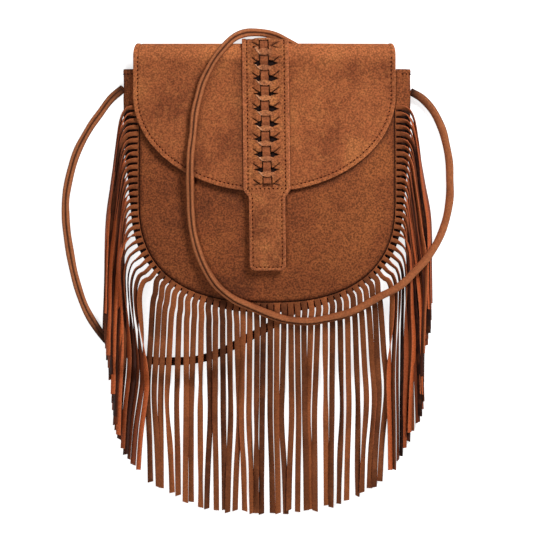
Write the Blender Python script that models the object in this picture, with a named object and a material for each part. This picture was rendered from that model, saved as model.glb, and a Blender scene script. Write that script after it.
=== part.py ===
"""A fringed suede shoulder bag, lying on its back.

The bag's mouth points to +Y and its front faces up, +Z. The origin is on the
resting face of the back panel, at the middle of the bag's width. The strap
leaves both top corners, lies in a loop around the bag, runs under it and
comes back over the flap, so the back panel is lifted where the strap passes.
"""
import math

import bmesh
import bpy
from mathutils import Vector

MM = 0.001
GAP = 0.3 * MM                  # clearance between pieces sewn or laid together

# Body: a front and a back panel with a bulging gusset strip between them.
PANEL_HALF_WIDTH = 117.8 * MM
PANEL_SHOULDER_Y = -25.0 * MM   # the straight sides end here
PANEL_BOTTOM_Y = -119.0 * MM
PANEL_CORNER_POWER = 2.5        # superellipse exponent of the rounded bottom
PANEL_THICKNESS = 1.4 * MM
MOUTH_Y = 96.0 * MM             # top edge of the front panel and of the gusset
BACK_TOP_Y = 100.0 * MM
SEAM_HEIGHT = 26.0 * MM         # front seam above the floor, below the shoulder
SEAM_HEIGHT_MOUTH = 18.0 * MM
FRONT_RISE = 12.0 * MM          # how far the stuffed front panel domes up
FRONT_RISE_MOUTH = 3.0 * MM
GUSSET_BULGE = 13.0 * MM

# Flap: sewn inside the back panel's top edge, turned over the mouth.
FLAP_SIDE_OVERHANG = 3.0 * MM   # past the front panel's seam, on each side
FLAP_REAR_INSET = 3.3 * MM      # the rear is sewn inside the back panel's sides
FLAP_HALF_WIDTH = PANEL_HALF_WIDTH + FLAP_SIDE_OVERHANG
FLAP_REAR_HALF_WIDTH = PANEL_HALF_WIDTH - FLAP_REAR_INSET
FLAP_CENTRE_X = -2.4 * MM
FLAP_SHOULDER_Y = 71.8 * MM
FLAP_DEPTH = 89.5 * MM          # of the half-ellipse below the shoulder
FLAP_CORNER_POWER = 2.0
FLAP_THICKNESS = 1.8 * MM
FLAP_SEAM_OVERLAP = 9.0 * MM
FLAP_GAP_TOP = 0.8 * MM         # air between flap and front panel
FLAP_GAP_EDGE = 4.0 * MM
FOLD_Y = 108.0 * MM             # where the turn over the top begins
FLAP_FOLD_REACH = 10.6 * MM

# Braided strip, which runs over the fold and ends below the flap as a tab.
STRIP_HALF_WIDTH = 21.5 * MM
STRIP_THICKNESS = 1.4 * MM
STRIP_TOP_X = -1.7 * MM
STRIP_END_X = 0.8 * MM
STRIP_FOLD_REACH = 15.0 * MM
STRIP_REAR_GAP = 1.0 * MM       # from the back panel's top edge
STRIP_REAR_Y = BACK_TOP_Y + STRIP_REAR_GAP
STRIP_WIDE_END_Y = -14.7 * MM
TAB_START_Y = -22.0 * MM
TAB_END_Y = -89.7 * MM
TAB_HALF_WIDTH = 16.6 * MM
TAB_CORNER_RADIUS = 5.5 * MM
OPENING_COUNT = 8
OPENING_PITCH = 14.05 * MM
OPENING_FIRST_Y = 100.7 * MM
OPENING_HALF_LENGTH = 12.0 * MM
OPENING_HALF_HEIGHT = 2.9 * MM
LACE_HALF_WIDTH = 3.8 * MM
LACE_THICKNESS = 1.1 * MM
LACE_HUMP = 1.3 * MM
TAB_LINING_THICKNESS = 0.8 * MM
TAB_LINING_INSET = 0.6 * MM

# Magnetic snap between the tab and the front panel.
SNAP_Y = -76.0 * MM
SNAP_RADIUS = 9.0 * MM
SNAP_SEAT_GAP = 0.5 * MM        # the discs are flat and the suede is curved
SOCKET_THICKNESS = 2.0 * MM
SOCKET_BORE_RADIUS = 3.4 * MM
SOCKET_BORE_DEPTH = 1.4 * MM
STUD_THICKNESS = 1.0 * MM
STUD_POST_RADIUS = 2.8 * MM
STUD_POST_LENGTH = 1.3 * MM
WASHER_RADIUS = 7.0 * MM
WASHER_BORE_RADIUS = 2.5 * MM
WASHER_THICKNESS = 0.5 * MM
TURNED_SIDES = 20

# Fringe: one band caught in the front seam, cut into strips.
STRAND_LENGTH = 195.0 * MM
STRAND_WIDTH = 5.2 * MM
STRAND_THICKNESS = 1.1 * MM
STRAND_PITCH = 6.1 * MM
STRAND_LANE_GAP = 0.5 * MM      # between neighbours that have turned on edge
STRAND_FALL = 95.0 * MM         # length over which a strand sinks to the floor
STRAND_TOLERANCE = 0.7 * MM     # how closely the strands' facets follow their curves
HEADER_WIDTH = 4.6 * MM
FRINGE_TOP_Y = 62.0 * MM
STRAND_TURN_DROP = 10.0 * MM    # least height in which a strand turns into its lane
BOTTOM_BAND_HALF_WIDTH = 88.0 * MM

# Strap: a limp cord of rolled suede.
STRAP_DIAMETER = 7.4 * MM
STRAP_CLEARANCE = 0.8 * MM
LIFT_PLATEAU = 8.0 * MM         # half width of the raised channel over the strap
LIFT_REACH = 24.0 * MM
LIFT_FULL_HEIGHT = 4.0 * MM
LIFT_FADE_HEIGHT = 18.5 * MM
FLAP_LIFT_SPARE = 9.0 * MM
STRIP_LIFT_SPARE = 3.0 * MM

# Points of the strap's centreline in millimetres, from the left end to the right one.
STRAP_LEFT_LOOP = [
    (-134.9, 76.5, 7.5), (-144, 69.0, 4.4), (-153.6, 56.3, 3.9), (-165, 40, 3.9), (-177, 16, 3.9),
    (-185, -16, 3.9), (-186, -40, 3.9), (-183, -67, 3.9), (-176.5, -99, 3.9),
]
STRAP_UNDER_BAG = [             # hidden by the fringe and the bag
    (-166, -128, 3.9),
    (-149, -153, 3.9), (-131, -166, 3.9), (-111, -172.5, 3.9), (-73, -173, 3.9), (-46, -166.5, 3.9),
    (-20, -153, 3.9), (6, -139, 3.9), (34, -119, 3.9), (60, -88, 3.9), (76, -46, 3.9), (80, 0, 3.9),
    (75, 46, 3.9), (57, 86, 3.9), (35, 111, 3.9), (15.5, 123.3, 3.9),
]
STRAP_OVER_BAG = [
    (4, 128.2, 4.6), (-8, 130, 7.0), (-19.8, 129.3, 12), (-30, 124.8, 19.5), (-39, 116, 27),
    (-49, 103, 28.3),
    (-58.5, 84.5, 28.9), (-62.7, 70.4, 30.8), (-66.3, 53.9, 34), (-68, 35, 37.8),
    (-70, 17.6, 41.4), (-70.5, 0, 43.7), (-70.4, -16, 41.6), (-69.9, -35, 39.4),
    (-68, -53.6, 39), (-63.3, -72.3, 38.1), (-55.8, -89.2, 36.4), (-45.5, -104.2, 34),
    (-31.4, -115.5, 31.7), (-20.7, -120.5, 31), (3.3, -130.3, 30.4), (19.3, -135, 30),
    (39.3, -136.3, 29.5), (59.2, -132.9, 29.8), (79.3, -127, 31.6), (103, -114, 32.8),
    (120.8, -104.8, 31), (134.9, -91.9, 25.6), (147.8, -77.8, 18), (158.2, -61.4, 12.8),
    (165.3, -42.6, 7.4), (168.9, -22.6, 3.9), (168.9, -5, 3.9), (168.3, 11.4, 3.9),
    (165.3, 27.8, 3.9), (161.4, 41.9, 3.9), (153.5, 57.7, 3.9), (143.5, 69, 4.4),
    (134.9, 74.0, 7.5),
]
STRAP_POINT_COUNT = 78
STRAP_SIDES_RESOLUTION = 2

# How finely the curves and surfaces are divided.
ROUTE_STEP_COUNT = 12
EDGE_STEP_COUNT = 400
SEAM_STEP_COUNT = 2000
FRONT_COLUMN_COUNT = 26
FRONT_ROW_COUNT = 10
BACK_COLUMN_COUNT = 34
BACK_ROW_COUNT = 18
GUSSET_COLUMN_COUNT = 50
GUSSET_ROW_COUNT = 6
FLAP_COLUMN_COUNT = 24
FLAP_ROW_COUNT = 9
FOLD_STEP_COUNT = 7
BEND_STEP_COUNT = 24
STRAND_STEP_COUNT = 240
SHARP_ANGLE = math.radians(40)


def clear_scene():
    for item in list(bpy.data.objects):
        bpy.data.objects.remove(item, do_unlink=True)


def make_material(name, colour, roughness, metallic=0.0):
    material = bpy.data.materials.new(name)
    material.use_nodes = True
    shader = material.node_tree.nodes["Principled BSDF"]
    shader.inputs["Base Color"].default_value = (*colour, 1.0)
    shader.inputs["Roughness"].default_value = roughness
    shader.inputs["Metallic"].default_value = metallic
    return material


def add_body(name, verts, faces, material):
    """Make one object from points and faces, with its faces turned outward."""
    mesh = bpy.data.meshes.new(name)
    mesh.from_pydata([tuple(v) for v in verts], [], faces)
    work = bmesh.new()
    work.from_mesh(mesh)
    bmesh.ops.recalc_face_normals(work, faces=work.faces)
    work.to_mesh(mesh)
    work.free()
    mesh.shade_smooth()
    mesh.set_sharp_from_angle(angle=SHARP_ANGLE)
    mesh.materials.append(material)
    item = bpy.data.objects.new(name, mesh)
    bpy.context.scene.collection.objects.link(item)
    return item


def sheet_body(name, outer, inner, material):
    """Close two grids of points, the two faces of a sheet, into one body."""
    rows = len(outer)
    cols = len(outer[0])
    verts = [point for row in outer for point in row] + [point for row in inner for point in row]
    under = rows * cols
    faces = []
    for i in range(rows - 1):
        for j in range(cols - 1):
            a, b = i * cols + j, (i + 1) * cols + j
            faces.append((a, a + 1, b + 1, b))
            faces.append((under + a, under + b, under + b + 1, under + a + 1))
    rim = [j for j in range(cols)]
    rim += [i * cols + cols - 1 for i in range(1, rows)]
    rim += [(rows - 1) * cols + j for j in range(cols - 2, -1, -1)]
    rim += [i * cols for i in range(rows - 2, 0, -1)]
    for here, after in zip(rim, rim[1:] + rim[:1]):
        faces.append((here, under + here, under + after, after))
    return add_body(name, verts, faces, material)


def smooth(t):
    t = min(1.0, max(0.0, t))
    return t * t * (3.0 - 2.0 * t)


def mix(a, b, t):
    return a + (b - a) * t


def resample(points, count):
    """Spread count + 1 points evenly along a polyline."""
    lengths = [0.0]
    for a, b in zip(points, points[1:]):
        lengths.append(lengths[-1] + (b - a).length)
    result = []
    k = 0
    for i in range(count + 1):
        want = lengths[-1] * i / count
        while k < len(lengths) - 2 and lengths[k + 1] < want:
            k += 1
        span = lengths[k + 1] - lengths[k]
        result.append(points[k].lerp(points[k + 1], (want - lengths[k]) / span))
    return result


def smooth_route(points, count):
    """Read count points from a Catmull-Rom curve through the route's points."""
    fine = []
    for i in range(len(points) - 1):
        p1, p2 = points[i], points[i + 1]
        p0 = points[i - 1] if i else p1 + (p1 - p2)
        p3 = points[i + 2] if i + 2 < len(points) else p2 + (p2 - p1)
        for step in range(ROUTE_STEP_COUNT):
            t = step / ROUTE_STEP_COUNT
            fine.append(0.5 * (2 * p1 + (p2 - p0) * t + (2 * p0 - 5 * p1 + 4 * p2 - p3) * t * t
                               + (3 * p1 - p0 - 3 * p2 + p3) * t ** 3))
    fine.append(points[-1])
    return resample(fine, count - 1)


STRAP_ROUTE = STRAP_LEFT_LOOP + STRAP_UNDER_BAG + STRAP_OVER_BAG
STRAP_LINE = [Vector(point) * MM for point in STRAP_ROUTE]
HIDDEN_LINE = [Vector(point).xy * MM for point in STRAP_UNDER_BAG]


def strap_lift(x, y, spare=0.0):
    """Height that the strap underneath gives to what lies on the floor at x, y.

    spare widens the channel for a sheet that lies over another lifted one.
    """
    here = Vector((x, y))
    nearest = LIFT_REACH + spare
    for a, b in zip(HIDDEN_LINE, HIDDEN_LINE[1:]):
        along = b - a
        t = min(1.0, max(0.0, (here - a).dot(along) / along.length_squared))
        nearest = min(nearest, (here - a - along * t).length)
    fall = smooth((LIFT_REACH + spare - nearest) / (LIFT_REACH - LIFT_PLATEAU))
    return (STRAP_DIAMETER + STRAP_CLEARANCE) * fall


def lifted(point, spare=0.0):
    """Raise a point over the strap: what lies low rises fully, what lies high stays."""
    left = 1.0 - (point.z - LIFT_FULL_HEIGHT) / (LIFT_FADE_HEIGHT - LIFT_FULL_HEIGHT)
    left = min(1.0, max(0.0, left))
    return point + Vector((0, 0, strap_lift(point.x, point.y, spare) * left))


def body_blend(y):
    """0 at the mouth, 1 from the shoulder down."""
    return smooth((MOUTH_Y - y) / (MOUTH_Y - PANEL_SHOULDER_Y))


def seam_height(y):
    return mix(SEAM_HEIGHT_MOUTH, SEAM_HEIGHT, body_blend(y))


def front_height(x, y):
    """Outer surface of the domed front panel."""
    below = max(0.0, PANEL_SHOULDER_Y - y) / (PANEL_SHOULDER_Y - PANEL_BOTTOM_Y)
    edge = (abs(x) / PANEL_HALF_WIDTH) ** PANEL_CORNER_POWER + below ** PANEL_CORNER_POWER
    rise = mix(FRONT_RISE_MOUTH, FRONT_RISE, body_blend(y))
    return seam_height(y) + rise * (1.0 - min(1.0, edge))


def rounded_bottom(half_width, top_y, depth, power, count):
    """Points along the rounded lower edge of a panel, from the left to the right."""
    fine = []
    for i in range(EDGE_STEP_COUNT + 1):
        angle = math.pi * i / EDGE_STEP_COUNT
        side = -math.copysign(abs(math.cos(angle)) ** (2 / power), math.cos(angle))
        fine.append(Vector((half_width * side, top_y - depth * math.sin(angle) ** (2 / power))))
    return resample(fine, count)


def panel_bottom(count):
    depth = PANEL_SHOULDER_Y - PANEL_BOTTOM_Y
    return rounded_bottom(PANEL_HALF_WIDTH, PANEL_SHOULDER_Y, depth, PANEL_CORNER_POWER, count)


def seam_line(top_y, count):
    """The whole front seam, down the left side, round the bottom, up the right side."""
    points = [Vector((-PANEL_HALF_WIDTH, top_y))] + panel_bottom(EDGE_STEP_COUNT)
    points.append(Vector((PANEL_HALF_WIDTH, top_y)))
    return resample(points, count)


def outward(points, i):
    """Unit normal of the seam at point i, away from the bag."""
    along = points[min(i + 1, len(points) - 1)] - points[max(i - 1, 0)]
    return Vector((along.y, -along.x)).normalized()


def build_panels(suede):
    front_outer, front_inner = [], []
    for edge in panel_bottom(FRONT_COLUMN_COUNT):
        column = [Vector((edge.x, mix(edge.y, MOUTH_Y, j / FRONT_ROW_COUNT)))
                  for j in range(FRONT_ROW_COUNT + 1)]
        front_outer.append([Vector((p.x, p.y, front_height(p.x, p.y))) for p in column])
        front_inner.append([p - Vector((0, 0, PANEL_THICKNESS)) for p in front_outer[-1]])
    sheet_body("front_panel", front_outer, front_inner, suede)

    back_outer, back_inner = [], []
    for edge in panel_bottom(BACK_COLUMN_COUNT):
        column = [Vector((edge.x, mix(edge.y, BACK_TOP_Y, j / BACK_ROW_COUNT)))
                  for j in range(BACK_ROW_COUNT + 1)]
        back_outer.append([lifted(Vector((p.x, p.y, 0))) for p in column])
        back_inner.append([p + Vector((0, 0, PANEL_THICKNESS)) for p in back_outer[-1]])
    sheet_body("back_panel", back_outer, back_inner, suede)


def build_gusset(suede):
    seam = seam_line(MOUTH_Y, GUSSET_COLUMN_COUNT)
    outer, inner = [], []
    for i, edge in enumerate(seam):
        normal = outward(seam, i)
        side = Vector((normal.x, normal.y, 0))
        low = strap_lift(edge.x, edge.y) + PANEL_THICKNESS / 2
        high = seam_height(edge.y) - STRAND_THICKNESS - GAP - PANEL_THICKNESS / 2
        row_outer, row_inner = [], []
        for j in range(GUSSET_ROW_COUNT + 1):
            u = j / GUSSET_ROW_COUNT
            away = GAP + PANEL_THICKNESS / 2 + GUSSET_BULGE * math.sin(math.pi * u)
            middle = Vector((edge.x, edge.y, mix(low, high, u))) + side * away
            climb = GUSSET_BULGE * math.pi * math.cos(math.pi * u)
            face = (side * (high - low) - Vector((0, 0, climb))).normalized()
            row_outer.append(middle + face * PANEL_THICKNESS / 2)
            row_inner.append(middle - face * PANEL_THICKNESS / 2)
        outer.append(row_outer)
        inner.append(row_inner)
    sheet_body("gusset", outer, inner, suede)


def over_fold(x, stage, value, front, rear, reach):
    """A point and its outward normal on a sheet that turns over the mouth.

    front(x, y) gives the sheet's height on the front, rear its height behind,
    and reach how far the turn stands out. value is y on the front and on the
    rear, and the angle from the front on the fold.
    """
    if stage == "front":
        return Vector((x, value, front(x, value))), Vector((0, 0, 1))
    if stage == "rear":
        return Vector((x, value, rear)), Vector((0, 0, -1))
    y = FOLD_Y + reach * math.sin(value)
    z = mix(rear, front(x, FOLD_Y), (1 + math.cos(value)) / 2)
    return Vector((x, y, z)), Vector((0, math.sin(value), math.cos(value)))


def fold_angles():
    """Angles from the front, from the rear seam over the fold to the front."""
    return [math.pi * (FOLD_STEP_COUNT - i) / FOLD_STEP_COUNT for i in range(FOLD_STEP_COUNT + 1)]


def flap_front(x, y):
    """Middle of the flap's thickness over the front panel."""
    down = (FOLD_Y - y) / (FOLD_Y - FLAP_SHOULDER_Y + FLAP_DEPTH)
    air = mix(FLAP_GAP_TOP, FLAP_GAP_EDGE, smooth(down * 1.1))
    return front_height(x - FLAP_CENTRE_X, y) + air + FLAP_THICKNESS / 2


def build_flap(suede):
    rear = PANEL_THICKNESS + GAP + FLAP_THICKNESS / 2
    edge_points = rounded_bottom(FLAP_HALF_WIDTH, FLAP_SHOULDER_Y, FLAP_DEPTH,
                                 FLAP_CORNER_POWER, FLAP_COLUMN_COUNT)
    outer, inner = [], []
    for edge in edge_points:
        stations = [("rear", BACK_TOP_Y - FLAP_SEAM_OVERLAP), ("rear", BACK_TOP_Y - GAP)]
        stations += [("rear", mix(BACK_TOP_Y, FOLD_Y, 0.6))]
        stations += [("fold", angle) for angle in fold_angles()]
        stations += [("front", mix(FOLD_Y, edge.y, (i + 1) / FLAP_ROW_COUNT))
                     for i in range(FLAP_ROW_COUNT)]
        row_outer, row_inner = [], []
        for stage, value in stations:
            width = FLAP_HALF_WIDTH
            if stage == "rear":
                width = FLAP_REAR_HALF_WIDTH
            if stage == "fold":
                width = mix(FLAP_HALF_WIDTH, FLAP_REAR_HALF_WIDTH, smooth(value / math.pi))
            x = FLAP_CENTRE_X * width / FLAP_HALF_WIDTH + edge.x * width / FLAP_HALF_WIDTH
            if stage == "rear":
                x -= FLAP_CENTRE_X
            point, normal = over_fold(x, stage, value, flap_front, rear, FLAP_FOLD_REACH)
            row_outer.append(lifted(point + normal * FLAP_THICKNESS / 2, FLAP_LIFT_SPARE))
            row_inner.append(lifted(point - normal * FLAP_THICKNESS / 2, FLAP_LIFT_SPARE))
        outer.append(row_outer)
        inner.append(row_inner)
    sheet_body("flap", outer, inner, suede)


def strip_axis(y):
    """The braided strip leans a little, so its middle moves over as it runs down."""
    top = FOLD_Y + STRIP_FOLD_REACH
    return mix(STRIP_TOP_X, STRIP_END_X, (top - y) / (top - TAB_END_Y))


def strip_front(x, y):
    """Underside of the strip: on the flap, and level with it below the flap's edge."""
    return flap_front(x, y) + FLAP_THICKNESS / 2 + GAP


def opening_y(index):
    return OPENING_FIRST_Y - index * OPENING_PITCH


def strip_half_width(y):
    if y > TAB_START_Y:
        wide = smooth((y - TAB_START_Y) / (STRIP_WIDE_END_Y - TAB_START_Y))
        return mix(TAB_HALF_WIDTH, STRIP_HALF_WIDTH, wide)
    return TAB_HALF_WIDTH


def strip_stations():
    """(stage, value, half width, raise of the middle, opening) down the strip."""
    raised = LACE_THICKNESS + GAP
    lace_room = OPENING_PITCH / 2
    stations = [("rear", STRIP_REAR_Y, STRIP_HALF_WIDTH, 0.0, False)]
    for angle in fold_angles():
        stations.append(("fold", angle, STRIP_HALF_WIDTH, 0.0, False))
    for k in range(OPENING_COUNT):
        y = opening_y(k)
        stations.append(("front", y + lace_room * 0.9, STRIP_HALF_WIDTH, raised, False))
        stations.append(("front", y, STRIP_HALF_WIDTH, raised, True))
    last = opening_y(OPENING_COUNT - 1)
    stations.append(("front", last - lace_room, STRIP_HALF_WIDTH, raised, False))
    stations.append(("front", STRIP_WIDE_END_Y, STRIP_HALF_WIDTH, 0.0, False))
    for y in (mix(STRIP_WIDE_END_Y, TAB_START_Y, 0.5), TAB_START_Y):
        stations.append(("front", y, strip_half_width(y), 0.0, False))
    for part in (0.35, 0.7):
        stations.append(("front", mix(TAB_START_Y, TAB_END_Y, part), TAB_HALF_WIDTH, 0.0, False))
    for turn in (0, 30, 60, 90):
        lean = math.radians(turn)
        y = TAB_END_Y + TAB_CORNER_RADIUS * (1 - math.sin(lean))
        half = TAB_HALF_WIDTH - TAB_CORNER_RADIUS * (1 - math.cos(lean))
        stations.append(("front", y, half, 0.0, False))
    return stations


def build_strip(suede):
    """The strip is pierced by openings; between them its rungs arch over the lace."""
    rear = STRIP_THICKNESS / 2
    verts, faces, previous = [], [], None

    def front(x, y):
        return strip_front(x, y) + STRIP_THICKNESS / 2

    def node(stage, value, across, raised, shift=0.0):
        """Add the outer and inner point at one place and return the outer index."""
        y = value if stage != "fold" else FOLD_Y + STRIP_FOLD_REACH * math.sin(value)
        place = value + shift if stage == "front" else value
        point, normal = over_fold(strip_axis(y) + across, stage, place, front, rear,
                                  STRIP_FOLD_REACH)
        point = point + normal * raised
        verts.append(lifted(point + normal * STRIP_THICKNESS / 2, STRIP_LIFT_SPARE))
        verts.append(lifted(point - normal * STRIP_THICKNESS / 2, STRIP_LIFT_SPARE))
        return len(verts) - 2

    def wall(a, b):
        faces.append((a, b, b + 1, a + 1))

    for stage, value, half, raised, opening in strip_stations():
        scale = half / STRIP_HALF_WIDTH
        reach = OPENING_HALF_LENGTH * scale
        middle = (LACE_HALF_WIDTH + 2 * GAP) * scale
        ends = [node(stage, value, side * half, 0.0) for side in (-1, 1)]
        tips = [node(stage, value, side * reach, 0.0) for side in (-1, 1)]
        if opening:
            up, down = [[node(stage, value, side * middle, raised, shift) for side in (-1, 1)]
                        for shift in (OPENING_HALF_HEIGHT, -OPENING_HALF_HEIGHT)]
            ring = [tips[0], up[0], up[1], tips[1], down[1], down[0]]
            for a, b in zip(ring, ring[1:] + ring[:1]):
                wall(a, b)
        else:
            up = [node(stage, value, side * middle, raised) for side in (-1, 1)]
            down = up
        above = [ends[0], tips[0], up[0], up[1], tips[1], ends[1]]
        below = [ends[0], tips[0], down[0], down[1], tips[1], ends[1]]
        if previous is None:
            for a, b in zip(above, above[1:]):
                wall(a, b)
        else:
            for j in range(len(above) - 1):
                a, b, c, d = previous[j], previous[j + 1], above[j + 1], above[j]
                faces.append((a, b, c, d))
                faces.append((a + 1, d + 1, c + 1, b + 1))
            wall(previous[0], above[0])
            wall(previous[-1], above[-1])
        previous = below
    for a, b in zip(previous, previous[1:]):
        wall(a, b)
    add_body("braided_strip", verts, faces, suede)


def build_lace(suede):
    """A flat lace under all the rungs, which swells up in each opening."""
    outer, inner = [], []
    marks = [opening_y(0) + OPENING_PITCH * 0.4]
    for k in range(OPENING_COUNT):
        marks += [opening_y(k) + OPENING_HALF_HEIGHT * part for part in (1.0, 0.5, 0.0, -0.5, -1.0)]
    marks.append(opening_y(OPENING_COUNT - 1) - OPENING_PITCH * 0.4)
    for y in marks:
        off = min(abs(y - opening_y(k)) for k in range(OPENING_COUNT)) / OPENING_HALF_HEIGHT
        hump = LACE_HUMP * (1 - min(1.0, off) ** 2)
        row = []
        for across in (-1.0, -0.4, 0.4, 1.0):
            x = strip_axis(y) + across * LACE_HALF_WIDTH
            row.append(Vector((x, y, strip_front(x, y) + hump)))
        inner.append(row)
        outer.append([p + Vector((0, 0, LACE_THICKNESS)) for p in row])
    sheet_body("braid_lace", outer, inner, suede)


def tilt_at(y):
    """Slope of the front panel under the tab, as a turn about X."""
    step = 2 * MM
    rise = front_height(STRIP_END_X, y + step) - front_height(STRIP_END_X, y - step)
    return math.atan2(rise, 2 * step)


def build_tab_lining(suede):
    """The lining closes the tab's underside and carries the snap's stud."""
    base = SNAP_SEAT_GAP + SOCKET_THICKNESS + GAP + STUD_THICKNESS + GAP
    half = TAB_HALF_WIDTH - TAB_LINING_INSET
    end = TAB_END_Y + TAB_LINING_INSET
    stations = [(TAB_START_Y - 2 * GAP, half), (mix(TAB_START_Y, TAB_END_Y, 0.35), half),
                (mix(TAB_START_Y, TAB_END_Y, 0.7), half)]
    for turn in (0, 30, 60, 90):
        lean = math.radians(turn)
        stations.append((end + TAB_CORNER_RADIUS * (1 - math.sin(lean)),
                         half - TAB_CORNER_RADIUS * (1 - math.cos(lean))))
    outer, inner = [], []
    for y, width in stations:
        row = []
        for across in (-1.0, -0.33, 0.33, 1.0):
            x = strip_axis(y) + across * width
            row.append(Vector((x, y, front_height(x, y) + base)))
        inner.append(row)
        outer.append([p + Vector((0, 0, TAB_LINING_THICKNESS)) for p in row])
    sheet_body("tab_lining", outer, inner, suede)


def turned(name, profile, height, material):
    """A disc turned from (radius, height) points, seated on the front panel's slope."""
    sides = TURNED_SIDES
    verts, rings = [], []
    for radius, level in profile:
        if radius == 0:
            verts.append(Vector((0, 0, level)))
            rings.append([len(verts) - 1])
            continue
        first = len(verts)
        for i in range(sides):
            angle = math.tau * i / sides
            verts.append(Vector((radius * math.cos(angle), radius * math.sin(angle), level)))
        rings.append(list(range(first, first + sides)))
    faces = []
    closed = profile[0][0] != 0
    pairs = list(zip(rings, rings[1:])) + ([(rings[-1], rings[0])] if closed else [])
    for lower, upper in pairs:
        for i in range(sides):
            a, b = lower[i % len(lower)], lower[(i + 1) % len(lower)]
            c, d = upper[(i + 1) % len(upper)], upper[i % len(upper)]
            corners = [a, b, c, d]
            faces.append(tuple(dict.fromkeys(corners)))
    item = add_body(name, verts, faces, material)
    x = strip_axis(SNAP_Y)
    item.location = (x, SNAP_Y, front_height(x, SNAP_Y) + height)
    item.rotation_euler = (tilt_at(SNAP_Y), 0, 0)
    return item


def build_snap(metal):
    seat = SNAP_SEAT_GAP
    bore_floor = SOCKET_THICKNESS - SOCKET_BORE_DEPTH
    turned("snap_socket", [(0, 0), (SNAP_RADIUS, 0), (SNAP_RADIUS, SOCKET_THICKNESS),
                           (SOCKET_BORE_RADIUS, SOCKET_THICKNESS),
                           (SOCKET_BORE_RADIUS, bore_floor), (0, bore_floor)], seat, metal)
    stud_at = seat + SOCKET_THICKNESS + GAP
    turned("snap_stud", [(0, -STUD_POST_LENGTH + GAP), (STUD_POST_RADIUS, -STUD_POST_LENGTH + GAP),
                         (STUD_POST_RADIUS, 0), (SNAP_RADIUS, 0), (SNAP_RADIUS, STUD_THICKNESS),
                         (0, STUD_THICKNESS)], stud_at, metal)
    ring = [(WASHER_BORE_RADIUS, 0), (WASHER_RADIUS, 0), (WASHER_RADIUS, WASHER_THICKNESS),
            (WASHER_BORE_RADIUS, WASHER_THICKNESS)]
    turned("snap_socket_washer", ring, -PANEL_THICKNESS - SNAP_SEAT_GAP - WASHER_THICKNESS, metal)
    over_lining = stud_at + STUD_THICKNESS + GAP + TAB_LINING_THICKNESS + GAP
    turned("snap_stud_washer", ring, over_lining, metal)


def strand_lanes():
    """Where each strand starts on the seam and the lane in which it falls.

    Strands are counted from the middle of the bottom to one side. A strand on
    the bottom hangs flat below its root. Round the corner they turn more and
    more on edge, and on the side they all stand on edge, side by side.
    """
    steps = SEAM_STEP_COUNT
    half_line = [p for p in seam_line(FRINGE_TOP_Y, steps) if p.x >= 0]
    half_line.sort(key=lambda p: (p.y > PANEL_SHOULDER_Y, p.x if p.y <= PANEL_SHOULDER_Y else p.y))
    ordered = resample(half_line, steps)
    total = sum((b - a).length for a, b in zip(ordered, ordered[1:]))
    count = int((total - STRAND_PITCH / 2) / STRAND_PITCH) + 1
    strands = []
    lane = 0.0
    reach = 0.0
    for k in range(count):
        place = (k + 0.5) * STRAND_PITCH / total * steps
        i = min(steps - 1, int(place))
        root = ordered[i].lerp(ordered[i + 1], place - i)
        along = (ordered[min(i + 8, steps)] - ordered[max(i - 8, 0)]).normalized()
        away = Vector((along.y, -along.x))
        twist = math.radians(90) * smooth((away.x - 0.15) / 0.7)
        needed = STRAND_WIDTH * math.cos(twist) + STRAND_THICKNESS * math.sin(twist)
        beside_gusset = (GUSSET_BULGE + PANEL_THICKNESS + 4 * GAP) * smooth(away.x)
        after_last = lane + (reach + needed) / 2 + STRAND_LANE_GAP
        lane = max(root.x + beside_gusset, after_last) if k else root.x
        reach = needed
        strands.append((root, away, lane, twist))
    return strands


def key_points(points, tolerance):
    """Indices of the points that a polyline needs to stay within the tolerance."""
    keep = {0, len(points) - 1}
    spans = [(0, len(points) - 1)]
    while spans:
        first, last = spans.pop()
        along = points[last] - points[first]
        worst, where = tolerance, None
        for i in range(first + 1, last):
            t = (points[i] - points[first]).dot(along) / along.length_squared
            off = (points[i] - points[first] - along * min(1.0, max(0.0, t))).length
            if off > worst:
                worst, where = off, i
        if where is not None:
            keep.add(where)
            spans += [(first, where), (where, last)]
    return sorted(keep)


def strand_path(root, away, lane):
    """Plan of one strand: out of the header, round into its lane, straight to the tip."""
    start = root + away * (GAP + HEADER_WIDTH)
    sideways = lane - start.x
    drop = STRAND_TURN_DROP + 0.9 * abs(sideways)
    end_of_turn = Vector((lane, start.y - drop))
    bend = [start, start + away * max(0.7 * abs(sideways), 0.35 * drop),
            end_of_turn + Vector((0, 0.6 * drop)), end_of_turn]
    path = []
    for i in range(BEND_STEP_COUNT + 1):
        t = i / BEND_STEP_COUNT
        path.append(bend[0] * (1 - t) ** 3 + 3 * bend[1] * t * (1 - t) ** 2
                    + 3 * bend[2] * t * t * (1 - t) + bend[3] * t ** 3)
    turn = sum((b - a).length for a, b in zip(path, path[1:]))
    path.append(end_of_turn - Vector((0, STRAND_LENGTH - HEADER_WIDTH - turn)))
    return resample(path, STRAND_STEP_COUNT), turn


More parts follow.
